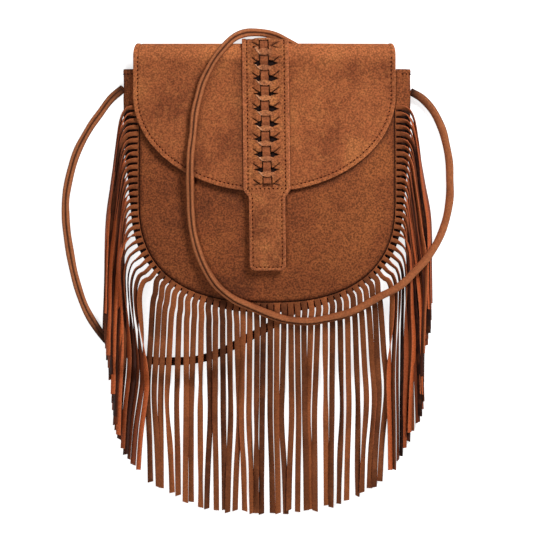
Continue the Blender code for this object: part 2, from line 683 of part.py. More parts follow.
def strand_rings(root, away, lane, twist):
    """Cross-sections of one strand, each four corners, from the header to the tip."""
    plan, turn = strand_path(root, away, lane)
    length = STRAND_LENGTH - HEADER_WIDTH
    top = seam_height(root.y) - STRAND_THICKNESS
    course = []
    for i, point in enumerate(plan):
        share = length * i / (len(plan) - 1)
        lean = twist * smooth(share / (0.6 * turn))
        tall = (STRAND_WIDTH * abs(math.sin(lean)) + STRAND_THICKNESS * math.cos(lean)) / 2
        fall = math.cos(min(1.0, share / STRAND_FALL) * math.pi / 2) ** 2
        low = mix(GAP + strap_lift(point.x, point.y), top, fall)
        course.append(Vector((point.x, point.y, low + tall, lean * STRAND_WIDTH / 2)))
    rings = []
    for i in key_points(course, STRAND_TOLERANCE):
        heading = (plan[min(i + 2, len(plan) - 1)] - plan[max(i - 2, 0)]).normalized()
        if i == 0:
            heading = away
        lean = course[i][3] / (STRAND_WIDTH / 2)
        middle = course[i].xyz
        side = Vector((-heading.y, heading.x, 0))
        wide = side * math.cos(lean) + Vector((0, 0, math.sin(lean)))
        thick = Vector((0, 0, math.cos(lean))) - side * math.sin(lean)
        wide *= STRAND_WIDTH / 2
        thick *= STRAND_THICKNESS / 2
        rings.append([middle - wide + thick, middle + wide + thick,
                      middle + wide - thick, middle - wide - thick])
    return rings


def on_left(strand):
    root, away, lane, twist = strand
    return Vector((-root.x, root.y)), Vector((-away.x, away.y)), -lane, -twist


def build_fringe(name, strands, suede):
    """One length of the fringe band: its header and its strands as one body."""
    verts, faces, previous = [], [], None

    def quad(a, b, c, d):
        faces.append((a, b, c, d))

    for root, away, lane, twist in strands:
        rings = strand_rings(root, away, lane, twist)
        edge = Vector((root.x, root.y, seam_height(root.y)))
        edge += Vector((away.x, away.y, 0)) * GAP
        half = Vector((-away.y, away.x, 0)) * STRAND_WIDTH / 2
        down = Vector((0, 0, STRAND_THICKNESS))
        seam_points = [edge - half, edge + half, edge + half - down, edge - half - down]
        blocks = [seam_points] + rings
        first = len(verts)
        for block in blocks:
            verts.extend(block)
        for i in range(len(blocks) - 1):
            a, b = first + 4 * i, first + 4 * (i + 1)
            quad(a, a + 1, b + 1, b)
            quad(a + 3, b + 3, b + 2, a + 2)
            if i:
                quad(a + 1, a + 2, b + 2, b + 1)
                quad(a, b, b + 3, a + 3)
        quad(first, first + 3, first + 2, first + 1)
        tip = first + 4 * (len(blocks) - 1)
        quad(tip, tip + 1, tip + 2, tip + 3)
        if previous is None:
            quad(first, first + 4, first + 7, first + 3)
        else:
            a = previous
            quad(a + 1, first, first + 4, a + 5)
            quad(a + 2, a + 6, first + 7, first + 3)
            quad(a + 1, a + 2, first + 3, first)
            quad(a + 5, first + 4, first + 7, a + 6)
        previous = first
    quad(previous + 1, previous + 2, previous + 6, previous + 5)
    add_body(name, verts, faces, suede)


def build_fringes(suede):
    right = strand_lanes()
    bottom = [s for s in right if s[0].x < BOTTOM_BAND_HALF_WIDTH]
    side = [s for s in right if s[0].x >= BOTTOM_BAND_HALF_WIDTH]
    build_fringe("fringe_right", side, suede)
    build_fringe("fringe_left", [on_left(s) for s in reversed(side)], suede)
    build_fringe("fringe_bottom", [on_left(s) for s in reversed(bottom)] + bottom, suede)


def build_strap(suede):
    points = smooth_route(STRAP_LINE, STRAP_POINT_COUNT)
    curve = bpy.data.curves.new("strap", "CURVE")
    curve.dimensions = "3D"
    spline = curve.splines.new("POLY")
    spline.points.add(len(points) - 1)
    for target, point in zip(spline.points, points):
        target.co = (*point, 1)
    curve.bevel_depth = STRAP_DIAMETER / 2
    curve.bevel_resolution = STRAP_SIDES_RESOLUTION
    curve.render_resolution_u = 0
    curve.use_fill_caps = True
    curve.materials.append(suede)
    item = bpy.data.objects.new("strap", curve)
    bpy.context.scene.collection.objects.link(item)


def main():
    clear_scene()
    cognac = make_material("cognac_suede", (0.38, 0.11, 0.035), 0.9)
    fringe_suede = make_material("fringe_suede", (0.2, 0.05, 0.018), 0.9)
    strap_suede = make_material("strap_suede", (0.33, 0.09, 0.03), 0.85)
    metal = make_material("antique_brass", (0.42, 0.32, 0.18), 0.4, 1.0)
    build_panels(cognac)
    build_gusset(cognac)
    build_flap(cognac)
    build_strip(cognac)
    build_lace(cognac)
    build_tab_lining(cognac)
    build_snap(metal)
    build_fringes(fringe_suede)
    build_strap(strap_suede)


main()
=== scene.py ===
# %% [markdown]
# # A fringed suede bag, dressed
# The bag lies on its back and the camera looks straight down on it. The frame below holds the plain
# solids of its pieces. Each cell makes one piece as it looks on the real bag: a sewn panel, a stitched
# flap, a pierced strip, a strap, a fringe.

# %% Load the frame
import math
import random

import bmesh
import bpy
import numpy as np
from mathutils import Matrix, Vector, noise
from mathutils.geometry import delaunay_2d_cdt


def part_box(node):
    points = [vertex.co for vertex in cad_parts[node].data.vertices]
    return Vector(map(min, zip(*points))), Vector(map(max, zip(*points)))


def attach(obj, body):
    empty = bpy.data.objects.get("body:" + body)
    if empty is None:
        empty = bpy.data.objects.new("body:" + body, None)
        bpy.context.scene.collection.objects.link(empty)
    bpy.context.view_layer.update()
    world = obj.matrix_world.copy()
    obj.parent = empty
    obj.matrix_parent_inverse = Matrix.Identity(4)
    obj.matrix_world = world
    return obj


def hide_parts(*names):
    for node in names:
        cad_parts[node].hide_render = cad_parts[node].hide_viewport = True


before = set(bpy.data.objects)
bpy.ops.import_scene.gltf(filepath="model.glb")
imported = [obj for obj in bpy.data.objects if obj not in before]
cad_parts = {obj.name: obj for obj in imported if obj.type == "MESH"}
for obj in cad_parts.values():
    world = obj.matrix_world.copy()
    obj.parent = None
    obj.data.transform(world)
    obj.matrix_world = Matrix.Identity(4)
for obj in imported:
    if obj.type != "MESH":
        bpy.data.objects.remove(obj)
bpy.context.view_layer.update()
print("pieces in the frame:", ", ".join(sorted(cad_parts)))

# %% [markdown]
# Sizes that the frame already has are read from it, so a change there moves the looks too. The rest
# are the maker's own measures, such as the width of a hem or the length of a stitch.

# %% Sizes
MM = 0.001
GAP = 0.3 * MM

panel_low, panel_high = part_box("front_panel")
flap_low, flap_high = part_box("flap")
PANEL_HALF_WIDTH = panel_high.x
PANEL_BOTTOM_Y = panel_low.y
MOUTH_Y = panel_high.y
PANEL_SHOULDER_Y = -25.0 * MM
PANEL_CORNER_POWER = 2.5
PANEL_THICKNESS = 1.4 * MM
BACK_TOP_Y = 100.0 * MM
SEAM_HEIGHT = 26.0 * MM
SEAM_HEIGHT_MOUTH = 18.0 * MM
FRONT_RISE = 12.0 * MM
FRONT_RISE_MOUTH = 3.0 * MM
GUSSET_BULGE = 13.0 * MM
GUSSET_BULGE_SIDE = 6.0 * MM     # lower down the stuffed body pulls the gusset flat
GUSSET_BULGE_CORNER = 3.4 * MM
GUSSET_BULGE_BOTTOM = 7.6 * MM
FLAP_HALF_WIDTH = (flap_high.x - flap_low.x) / 2
FLAP_REAR_HALF_WIDTH = 114.5 * MM
FLAP_CENTRE_X = (flap_high.x + flap_low.x) / 2
FLAP_SHOULDER_Y = 71.8 * MM
FLAP_DEPTH = FLAP_SHOULDER_Y - flap_low.y
FLAP_THICKNESS = 1.8 * MM
FLAP_SEAM_OVERLAP = 9.0 * MM
FLAP_GAP_TOP = 0.8 * MM
FLAP_GAP_EDGE = 4.0 * MM
FLAP_FOLD_REACH = 10.6 * MM
FOLD_Y = 108.0 * MM
STRAP_DIAMETER = 7.4 * MM
print(f"front panel {PANEL_HALF_WIDTH * 2 / MM:.1f} mm wide, flap {FLAP_DEPTH / MM:.1f} mm deep")

# %% [markdown]
# ## The camera
# A flat object that is seen from straight above looks best through a long lens far away: its sides
# then keep their true shape. An orthographic camera would do too, but it is no real lens.

# %% Camera
CAMERA_HEIGHT = 4.0
VIEW_WIDTH = 490.4 * MM        # what the picture's width covers at the bag's middle height
VIEW_CENTRE = (-0.46 * MM, -86.0 * MM)
MIDDLE_HEIGHT = 20.0 * MM

camera_data = bpy.data.cameras.new("camera")
camera_data.sensor_width = 36.0
camera_data.lens = camera_data.sensor_width * (CAMERA_HEIGHT - MIDDLE_HEIGHT) / VIEW_WIDTH
camera_data.clip_end = 20.0
camera = bpy.data.objects.new("camera", camera_data)
camera.location = (*VIEW_CENTRE, CAMERA_HEIGHT)
bpy.context.scene.collection.objects.link(camera)
bpy.context.scene.camera = camera
bpy.context.scene.view_settings.view_transform = "Standard"
print(f"lens {camera_data.lens:.0f} mm at {CAMERA_HEIGHT} m")

# %% [markdown]
# ## Small tools for curves and meshes
# A sewn piece is a sheet: two nearly parallel faces and a rounded rim. Working with whole arrays of
# points keeps the formulas short, and Blender takes the finished lists at once.

# %% Curve helpers
def smooth(t):
    """0 below 0, 1 above 1, and an S-shaped rise between them."""
    t = np.clip(t, 0.0, 1.0)
    return t * t * (3.0 - 2.0 * t)


def mix(a, b, t):
    """a where t is 0, b where t is 1."""
    return a + (b - a) * t


def run_lengths(points):
    """Length of a line of points up to each of them."""
    steps = np.linalg.norm(np.diff(points, axis=0), axis=1)
    return np.concatenate([[0.0], np.cumsum(steps)])


def read_at(places, along, values):
    """Rows of values, read at some places along a line."""
    return np.stack([np.interp(places, along, values[:, c]) for c in range(values.shape[1])], -1)


def resample(points, count):
    """Spread count + 1 points evenly along a line of points."""
    points = np.asarray(points, float)
    along = run_lengths(points)
    return read_at(np.linspace(0.0, along[-1], count + 1), along, points)


def closed_ring(ring):
    """A ring of points with its first point once more at the end."""
    return np.concatenate([ring, ring[:1]])


def smooth_route(points, count, between=12):
    """Read evenly spread points from a Catmull-Rom curve through the given ones."""
    points = np.asarray(points, float)
    ends = [2 * points[0] - points[1], *points, 2 * points[-1] - points[-2]]
    fine = []
    for p0, p1, p2, p3 in zip(ends, ends[1:], ends[2:], ends[3:]):
        for t in np.arange(between) / between:
            fine.append(0.5 * (2 * p1 + (p2 - p0) * t + (2 * p0 - 5 * p1 + 4 * p2 - p3) * t ** 2
                               + (3 * p1 - p0 - 3 * p2 + p3) * t ** 3))
    fine.append(points[-1])
    return resample(fine, count)


def distance_to_line(xy, line):
    """Distance of many points from one line of points, in the plane."""
    best = np.full(xy.shape[:-1], 1e9)
    for a, b in zip(line[:-1], line[1:]):
        along = b - a
        t = np.clip(((xy - a) @ along) / max(along @ along, 1e-18), 0.0, 1.0)
        best = np.minimum(best, np.linalg.norm(xy - a - t[..., None] * along, axis=-1))
    return best


def soft_noise(x, y, size, seed=0.0):
    """Gentle dents between -1 and 1, each about size across."""
    flat = [noise.noise(Vector((a / size, b / size, seed))) for a, b in zip(x.ravel(), y.ravel())]
    return np.array(flat).reshape(x.shape)


print("curve helpers: a smooth curve through 3 points has",
      len(smooth_route([[0, 0], [1, 1], [2, 0]], 8)), "even places")

# %% Mesh helpers
SHARP_ANGLE = math.radians(50)


def add_mark(mesh, name, values, domain="POINT"):
    """Store one number for each point or face. A material can read it."""
    layer = mesh.attributes.new(name, "FLOAT", domain)
    layer.data.foreach_set("value", np.asarray(values, np.float32).ravel())


def add_piece(name, verts, faces, material, nodes=(), marks=None):
    """Make one piece from points and faces. It rides on the bag's only body."""
    mesh = bpy.data.meshes.new(name)
    mesh.from_pydata(np.asarray(verts).tolist(), [], faces)
    for mark, values in (marks or {}).items():
        add_mark(mesh, mark, values)
    mesh.validate()
    work = bmesh.new()
    work.from_mesh(mesh)
    bmesh.ops.recalc_face_normals(work, faces=work.faces)
    work.to_mesh(mesh)
    work.free()
    mesh.shade_smooth()
    mesh.set_sharp_from_angle(angle=SHARP_ANGLE)
    mesh.materials.append(material)
    piece = bpy.data.objects.new(name, mesh)
    bpy.context.scene.collection.objects.link(piece)
    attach(piece, "root")
    if nodes:
        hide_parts(*nodes)
    print(f"{name}: {len(mesh.vertices)} points, {len(mesh.polygons)} faces")
    return piece


def sheet_faces(rows, cols):
    """Faces of a closed sheet whose outer grid of points is followed by its inner grid."""
    grid = np.arange(rows * cols).reshape(rows, cols)
    outer = np.stack([grid[:-1, :-1], grid[:-1, 1:], grid[1:, 1:], grid[1:, :-1]], -1)
    inner = outer[..., ::-1] + rows * cols
    rim = np.concatenate([grid[0], grid[1:, -1], grid[-1, -2::-1], grid[-2:0:-1, 0]])
    low = rim + rows * cols
    wall = np.stack([rim, low, np.roll(low, -1), np.roll(rim, -1)], -1)
    return np.concatenate([outer.reshape(-1, 4), inner.reshape(-1, 4), wall]).tolist()


def tube_faces(rings, sides, first=0):
    """Point numbers of a tube, one row for each ring, and the faces between the rings."""
    grid = first + np.arange(rings * sides).reshape(rings, sides)
    after = np.roll(grid, -1, axis=1)
    walls = np.stack([grid[:-1], after[:-1], after[1:], grid[1:]], -1)
    return grid, walls.reshape(-1, 4).tolist()


def add_sheet(name, outer, inner, material, nodes=(), marks=None):
    """A closed sheet from two grids of points. Each mark is a grid of values for both faces."""
    rows, cols = outer.shape[:2]
    verts = np.concatenate([outer.reshape(-1, 3), inner.reshape(-1, 3)])
    doubled = {k: np.concatenate([v.ravel(), v.ravel()]) for k, v in (marks or {}).items()}
    return add_piece(name, verts, sheet_faces(rows, cols), material, nodes, doubled)


def rounded_half(depth, thickness, least=0.2):
    """Half the thickness of a sheet at some depth inside its rim, which is round."""
    into = np.clip(depth / (thickness / 2), 0.0, 1.0)
    return thickness / 2 * np.maximum(least, np.sqrt(1 - (1 - into) ** 2))


def up(values):
    """Heights as vectors."""
    return np.asarray(values)[..., None] * np.array([0.0, 0.0, 1.0])


print("mesh helpers: a sheet of 3 by 3 points closes with", len(sheet_faces(3, 3)), "faces")

# %% [markdown]
# ## Light and floor
# One wide soft box above the bag's top edge gives a gentle direction, a weaker one fills from below,
# and a grey-white world keeps the shade open. The floor shows white to the camera with a little
# emission on camera rays only, so no extra light falls on the bag and its shadow stays.

# %% Light and floor
FLOOR_SIZE = 12.0
FLOOR_GAP = 0.4 * MM
FLOOR_GREY = (0.88, 0.88, 0.88, 1)
FLOOR_GLOW = 0.78               # added for the camera only, so that the floor shows white
WORLD_STRENGTH = 0.27
LIGHT_TARGET = Vector((0, -0.08, 0))


def new_material(name, values):
    """A material with its node tree and its shader, whose own sockets get the given values."""
    material = bpy.data.materials.new(name)
    material.use_nodes = True
    shader = material.node_tree.nodes["Principled BSDF"]
    for socket, value in values.items():
        shader.inputs[socket].default_value = value
    return material, material.node_tree, shader


def add_area_light(name, place, size, power):
    lamp = bpy.data.lights.new(name, "AREA")
    lamp.shape = "DISK"
    lamp.size = size
    lamp.energy = power
    item = bpy.data.objects.new(name, lamp)
    item.location = place
    item.rotation_mode = "QUATERNION"
    item.rotation_quaternion = (Vector(place) - LIGHT_TARGET).to_track_quat("Z", "Y")
    bpy.context.scene.collection.objects.link(item)


def make_world():
    world = bpy.data.worlds.new("studio")
    world.use_nodes = True
    tree = world.node_tree
    back = tree.nodes["Background"]
    rays = tree.nodes.new("ShaderNodeLightPath")
    bright = tree.nodes.new("ShaderNodeMapRange")
    bright.inputs["To Min"].default_value = WORLD_STRENGTH
    bright.inputs["To Max"].default_value = 1.0
    tree.links.new(rays.outputs["Is Camera Ray"], bright.inputs["Value"])
    tree.links.new(bright.outputs["Result"], back.inputs["Strength"])
    bpy.context.scene.world = world


def make_floor():
    material, tree, shader = new_material("studio floor", {
        "Base Color": FLOOR_GREY, "Roughness": 1.0, "Specular IOR Level": 0.0,
        "Emission Color": (1, 1, 1, 1)})
    rays = tree.nodes.new("ShaderNodeLightPath")
    share = tree.nodes.new("ShaderNodeMath")
    share.operation = "MULTIPLY"
    share.inputs[1].default_value = FLOOR_GLOW
    tree.links.new(rays.outputs["Is Camera Ray"], share.inputs[0])
    tree.links.new(share.outputs[0], shader.inputs["Emission Strength"])
    half = FLOOR_SIZE / 2
    mesh = bpy.data.meshes.new("floor")
    mesh.from_pydata([(-half, -half, 0), (half, -half, 0), (half, half, 0), (-half, half, 0)],
                     [], [(0, 1, 2, 3)])
    mesh.materials.append(material)
    floor = bpy.data.objects.new("floor", mesh)
    floor.location.z = -FLOOR_GAP
    bpy.context.scene.collection.objects.link(floor)


make_world()
make_floor()
add_area_light("top softbox", (0.8, 1.0, 1.3), 0.7, 25.0)
add_area_light("low fill", (-0.6, -0.6, 1.8), 0.9, 12.0)
print("floor, world and two lights are in place")

# %% [markdown]
# ## Shader tools
# Several finishes share the same effects: the speckled nap of suede, soft darker patches where the nap
# lies another way, and the paler edge where a sheet is turned or cut. Each is a node group with named
# inputs, so a material only sets its own values. The groups give colours and heights. The shader
# itself stays in the material.

# %% Node helpers
def srgb(red, green, blue):
    """A colour given as a screen shows it, 0 to 255, as the renderer's linear value."""
    def linear(value):
        value /= 255
        return value / 12.92 if value <= 0.04045 else ((value + 0.055) / 1.055) ** 2.4
    return (linear(red), linear(green), linear(blue), 1.0)


def new_group(name, inputs, outputs):
    """An empty shader group. inputs are (name, socket type, value), outputs (name, type)."""
    tree = bpy.data.node_groups.new(name, "ShaderNodeTree")
    for label, kind, value in inputs:
        socket = tree.interface.new_socket(label, in_out="INPUT", socket_type=kind)
        socket.default_value = value
    for label, kind in outputs:
        tree.interface.new_socket(label, in_out="OUTPUT", socket_type=kind)
    return tree, tree.nodes.new("NodeGroupInput"), tree.nodes.new("NodeGroupOutput")


def add_node(tree, kind, values, **settings):
    """Add a node. Each value is a number, a colour or another node's output."""
    node = tree.nodes.new(kind)
    for key, setting in settings.items():
        setattr(node, key, setting)
    for key, value in values.items():
        if isinstance(value, bpy.types.NodeSocket):
            tree.links.new(value, node.inputs[key])
        else:
            node.inputs[key].default_value = value
    return node


def blend_colours(tree, factor, first, second, blend="MIX"):
    """A colour mix. Its sockets are found by place, since their names repeat."""
    node = add_node(tree, "ShaderNodeMix", {0: factor, 6: first, 7: second},
                    data_type="RGBA", blend_type=blend)
    return node.outputs[2]


def ranged(tree, value, low, high, to_low=0.0, to_high=1.0):
    """A soft step: to_low where the value is low, to_high where it is high."""
    node = add_node(tree, "ShaderNodeMapRange",
                    {"Value": value, "From Min": low, "From Max": high,
                     "To Min": to_low, "To Max": to_high}, interpolation_type="SMOOTHSTEP")
    return node.outputs["Result"]


def maths(tree, operation, first, second=0.0):
    return add_node(tree, "ShaderNodeMath", {0: first, 1: second}, operation=operation).outputs[0]


def noise_map(tree, per_metre, detail, roughness=0.5, distortion=0.0):
    """A cloudy value over the piece, with about per_metre clouds in a metre."""
    place = add_node(tree, "ShaderNodeTexCoord", {})
    node = add_node(tree, "ShaderNodeTexNoise",
                    {"Vector": place.outputs["Object"], "Scale": per_metre, "Detail": detail,
                     "Roughness": roughness, "Distortion": distortion})
    return node.outputs["Fac"]


def read_mark(tree, name):
    """A value that the piece carries on its points or faces."""
    return add_node(tree, "ShaderNodeAttribute", {}, attribute_name=name).outputs["Fac"]


def bump(tree, height, strength, distance):
    node = add_node(tree, "ShaderNodeBump",
                    {"Height": height, "Strength": strength, "Distance": distance})
    return node.outputs["Normal"]


def place_group(tree, group, values):
    return add_node(tree, "ShaderNodeGroup", values, node_tree=group)


def feed(tree, shader, sources):
    """Link changing values to the shader's sockets."""
    for socket, source in sources.items():
        tree.links.new(source, shader.inputs[socket])


print("the srgb helper turns a mid grey of 128 into", round(srgb(128, 128, 128)[0], 3))

# %% [markdown]
# The nap of suede is a fur of very short fibres. Seen close, it is a fine speckle of lighter and darker
# tips. Real fibres would be millions of hairs, so two sizes of noise stand for them.

# %% Suede nap group
SPECKLE_PER_METRE = 620.0
FLUFF_PER_METRE = 2400.0


def make_nap_group():
    """Fine speckle of raised fibres, about a millimetre across, with finer fluff on it."""
    tree, inner, outer = new_group(
        "suede nap",
        [("Color", "NodeSocketColor", (0.4, 0.1, 0.03, 1)),
         ("Speckle", "NodeSocketFloat", 0.5), ("Grain Size", "NodeSocketFloat", 1.0)],
        [("Color", "NodeSocketColor"), ("Height", "NodeSocketFloat")])
    per_metre = maths(tree, "DIVIDE", SPECKLE_PER_METRE, inner.outputs["Grain Size"])
    speckle = noise_map(tree, per_metre, 3.0, roughness=0.65)
    fluff = noise_map(tree, FLUFF_PER_METRE, 2.0)
    depth = ranged(tree, speckle, 0.34, 0.66, -1.0, 1.0)
    gain = maths(tree, "ADD", maths(tree, "MULTIPLY", depth, inner.outputs["Speckle"]), 1.0)
    grey = add_node(tree, "ShaderNodeCombineColor", {"Red": gain, "Green": gain, "Blue": gain})
    shaded = blend_colours(tree, 1.0, inner.outputs["Color"], grey.outputs[0], "MULTIPLY")
    tree.links.new(shaded, outer.inputs["Color"])
    tree.links.new(maths(tree, "MULTIPLY", speckle, fluff), outer.inputs["Height"])
    return tree


NAP = make_nap_group()
print("group:", NAP.name)

# %% [markdown]
# Worn suede is cloudy too: in some places the nap is brushed the other way, in others the hide took
# more dye. A painted map would do this for one bag. Noise does it for every piece.

# %% Soft patches group
FLECKS_PER_METRE = 170.0


def make_patch_group():
    """Cloudy areas, darker and lighter than the plain colour, with small light flecks."""
    tree, inner, outer = new_group(
        "brushed patches",
        [("Color", "NodeSocketColor", (0.4, 0.1, 0.03, 1)),
         ("Dark", "NodeSocketColor", (0.2, 0.05, 0.02, 1)),
         ("Light", "NodeSocketColor", (0.5, 0.15, 0.05, 1)),
         ("Patch Size", "NodeSocketFloat", 0.04), ("Amount", "NodeSocketFloat", 0.6)],
        [("Color", "NodeSocketColor")])
    per_metre = maths(tree, "DIVIDE", 1.0, inner.outputs["Patch Size"])
    cloud = noise_map(tree, per_metre, 5.0, roughness=0.55, distortion=0.3)
    small = noise_map(tree, FLECKS_PER_METRE, 3.0)
    colour = inner.outputs["Color"]
    for tint, share in (("Dark", ranged(tree, cloud, 0.5, 0.32)),
                        ("Light", ranged(tree, cloud, 0.5, 0.7)),
                        ("Light", ranged(tree, small, 0.45, 0.75, 0.0, 0.5))):
        amount = maths(tree, "MULTIPLY", share, inner.outputs["Amount"])
        colour = blend_colours(tree, amount, colour, inner.outputs[tint])
    tree.links.new(colour, outer.inputs["Color"])
    return tree


PATCHES = make_patch_group()
print("group:", PATCHES.name)

# %% [markdown]
# Where suede is cut or folded it is paler, and the groove where thread pulls it in gets painted shade.
# Each piece knows how far every point lies from its edge, so this group only has to turn that distance
# into bands.

# %% Turned edge group
def make_edge_group():
    """A paler band along a turned or cut edge and a line of painted shade in the groove where the
    thread pulls it in.
    """
    tree, inner, outer = new_group(
        "turned edge",
        [("Color", "NodeSocketColor", (0.4, 0.1, 0.03, 1)),
         ("Edge Color", "NodeSocketColor", (0.6, 0.2, 0.07, 1)),
         ("Groove Color", "NodeSocketColor", (0.1, 0.02, 0.01, 1)),
         ("Inset", "NodeSocketFloat", 50.0), ("Band Width", "NodeSocketFloat", 3.4),
         ("Groove Inset", "NodeSocketFloat", 4.2), ("Groove Depth", "NodeSocketFloat", 0.3)],
        [("Color", "NodeSocketColor")])
    inset = inner.outputs["Inset"]
    share = maths(tree, "DIVIDE", inset, inner.outputs["Band Width"])
    band = ranged(tree, share, 1.25, 0.7, 0.0, 0.22)
    colour = blend_colours(tree, band, inner.outputs["Color"], inner.outputs["Edge Color"])
    rim = ranged(tree, inset, 1.2, 0.4, 0.0, 0.6)
    colour = blend_colours(tree, rim, colour, inner.outputs["Edge Color"])
    # Painted shade in the stitch groove.
    off = maths(tree, "SUBTRACT", inset, inner.outputs["Groove Inset"])
    line = ranged(tree, maths(tree, "ABSOLUTE", off), 0.75, 0.15)
    line = maths(tree, "MULTIPLY", line, inner.outputs["Groove Depth"])
    colour = blend_colours(tree, line, colour, inner.outputs["Groove Color"])
    tree.links.new(colour, outer.inputs["Color"])
    return tree


TURNED_EDGE = make_edge_group()
print("group:", TURNED_EDGE.name)

# %% [markdown]
# ## The finishes
# Suede is matt: a high roughness and a touch of sheen, whose values are the same everywhere and stay
# on the shader's own sockets. The colour runs through the groups above. The body, the strap and the
# fringe come from different parts of the hide, so each has its own tones.

# %% Suede finish
# Painted shade for the stitch groove.
GROOVE_SHADE_COLOUR = srgb(72, 26, 14)
# Painted shade: a dark colour laid where grooves, seams and other pieces keep the light off.
PAINTED_SHADE_COLOUR = srgb(30, 11, 7)


def make_suede(name, colour, dark, light, edge, patch_size, amount, speckle=0.3, band=3.4,
               groove=0.16, pale_tint=None):
    """Patches first, then the edge, the painted shade, the paler places and the nap on top."""
    material, tree, shader = new_material(name, {
        "Roughness": 0.88, "Specular IOR Level": 0.25, "Sheen Weight": 0.12,
        "Sheen Roughness": 0.4, "Sheen Tint": light})
    patches = place_group(tree, PATCHES, {"Color": colour, "Dark": dark, "Light": light,
                                          "Patch Size": patch_size, "Amount": amount})
    turned = place_group(tree, TURNED_EDGE,
                         {"Color": patches.outputs["Color"], "Edge Color": edge,
                          "Groove Color": GROOVE_SHADE_COLOUR, "Inset": read_mark(tree, "inset_mm"),
                          "Band Width": band, "Groove Depth": groove})
    # Painted shade from the piece's own mark.
    with_shade = blend_colours(tree, read_mark(tree, "painted_shade"), turned.outputs["Color"], PAINTED_SHADE_COLOUR)
    # Paler where the piece's mark says: a painted highlight on the flap's fold, and the cut edges and
    # lenses on the strip.
    lightened = blend_colours(tree, read_mark(tree, "lighten"), with_shade, pale_tint or edge)
    nap = place_group(tree, NAP, {"Color": lightened, "Speckle": speckle})
    feed(tree, shader, {"Base Color": nap.outputs["Color"],
                        "Normal": bump(tree, nap.outputs["Height"], 0.5, 0.0006)})
    return material


FLAP_SUEDE = make_suede("cognac suede", srgb(166, 92, 52), srgb(124, 62, 34), srgb(188, 114, 64),
                        srgb(202, 118, 72), 0.045, 0.75, speckle=0.42, pale_tint=srgb(222, 132, 80))
PANEL_SUEDE = make_suede("darker cognac suede", srgb(140, 74, 40), srgb(98, 50, 28),
                         srgb(166, 94, 50), srgb(120, 62, 34), 0.06, 0.7, speckle=0.5)
STRIP_SUEDE = make_suede("strip suede", srgb(166, 94, 54), srgb(130, 68, 38), srgb(194, 120, 68),
                         srgb(204, 120, 80), 0.02, 0.75, speckle=0.42, pale_tint=srgb(244, 178, 134))
LACE_SUEDE = make_suede("lace suede", srgb(158, 88, 52), srgb(132, 70, 42), srgb(184, 108, 66),
                        srgb(190, 112, 74), 0.012, 0.6)
print("finishes:", FLAP_SUEDE.name, "/", PANEL_SUEDE.name, "/", STRIP_SUEDE.name)

# %% [markdown]
# A fringe strand shows three kinds of surface: the dark nap on its face, smooth orange leather on its
# back and pale cut edges. One material reads which one each face is, so a strand stays one mesh. The
# thread and the snap have plain finishes of their own.

# %% Fringe, strap, thread and brass finishes
def make_strand_suede():
    """Each surface runs from its shaded to its lit colour with the strand's own tone."""
    material, tree, shader = new_material("fringe suede", {
        "Specular IOR Level": 0.2, "Sheen Weight": 0.04, "Sheen Roughness": 0.4})
    tone = read_mark(tree, "tone")
    back = read_mark(tree, "back_side")
    face = blend_colours(tree, tone, srgb(34, 13, 9), srgb(168, 94, 52))
    patches = place_group(tree, PATCHES, {"Color": face, "Dark": srgb(74, 34, 20),
                                          "Light": srgb(168, 96, 56), "Patch Size": 0.03,
                                          "Amount": 0.35})
    smooth_side = blend_colours(tree, tone, srgb(38, 13, 8), srgb(212, 104, 56))
    colour = blend_colours(tree, back, patches.outputs["Color"], smooth_side)
    edge = blend_colours(tree, tone, srgb(44, 17, 11), srgb(204, 110, 68))
    colour = blend_colours(tree, read_mark(tree, "cut_edge"), colour, edge)
    nap = place_group(tree, NAP, {"Color": colour, "Speckle": 0.2, "Grain Size": 0.9})
    feed(tree, shader, {"Base Color": nap.outputs["Color"],
                        "Roughness": ranged(tree, back, 0.0, 1.0, 0.85, 0.5),
                        "Normal": bump(tree, nap.outputs["Height"], 0.5, 0.0005)})
    return material


def make_thread():
    """Waxed thread, laid in two twisted plies that show as fine slanted ribs."""
    material, tree, shader = new_material("waxed thread",
                                          {"Roughness": 0.95, "Specular IOR Level": 0.05})
    place = add_node(tree, "ShaderNodeTexCoord", {})
    wave = add_node(tree, "ShaderNodeTexWave", {"Vector": place.outputs["Object"],
                                                "Scale": 900.0, "Distortion": 1.0},
                    bands_direction="DIAGONAL")
    ribs = wave.outputs["Fac"]
    feed(tree, shader, {
        "Base Color": blend_colours(tree, ribs, srgb(50, 16, 11), srgb(84, 30, 20)),
        "Normal": bump(tree, ribs, 0.4, 0.0001)})
    return material


def make_brass():
    """Aged brass: cloudy tarnish on a satin metal."""
    material, tree, shader = new_material("aged brass", {"Metallic": 1.0})
    cloud = noise_map(tree, 400.0, 4.0)
    feed(tree, shader, {
        "Base Color": blend_colours(tree, cloud, srgb(110, 88, 52), srgb(186, 158, 104)),
        "Roughness": ranged(tree, cloud, 0.3, 0.7, 0.5, 0.28)})
    return material


STRAND_SUEDE = make_strand_suede()
STRAP_SUEDE = make_suede("strap suede", srgb(164, 92, 54), srgb(118, 62, 36), srgb(190, 116, 70),
                         srgb(198, 122, 78), 0.03, 0.6, groove=0.0, speckle=0.18)
THREAD = make_thread()
BRASS = make_brass()
print("finishes:", STRAND_SUEDE.name, "/", STRAP_SUEDE.name, "/", THREAD.name, "/", BRASS.name)

# %% [markdown]
# ## The strap
# The strap is a suede strip folded round itself and sewn, so it is a slightly flat cord with a seam
# groove that turns slowly along its length. A curve with a round bevel would give a plain hose. Here a
# section with a groove is carried along the route. The route is the frame's own, apart from its two
# ends, which reach a little further in to the gusset.

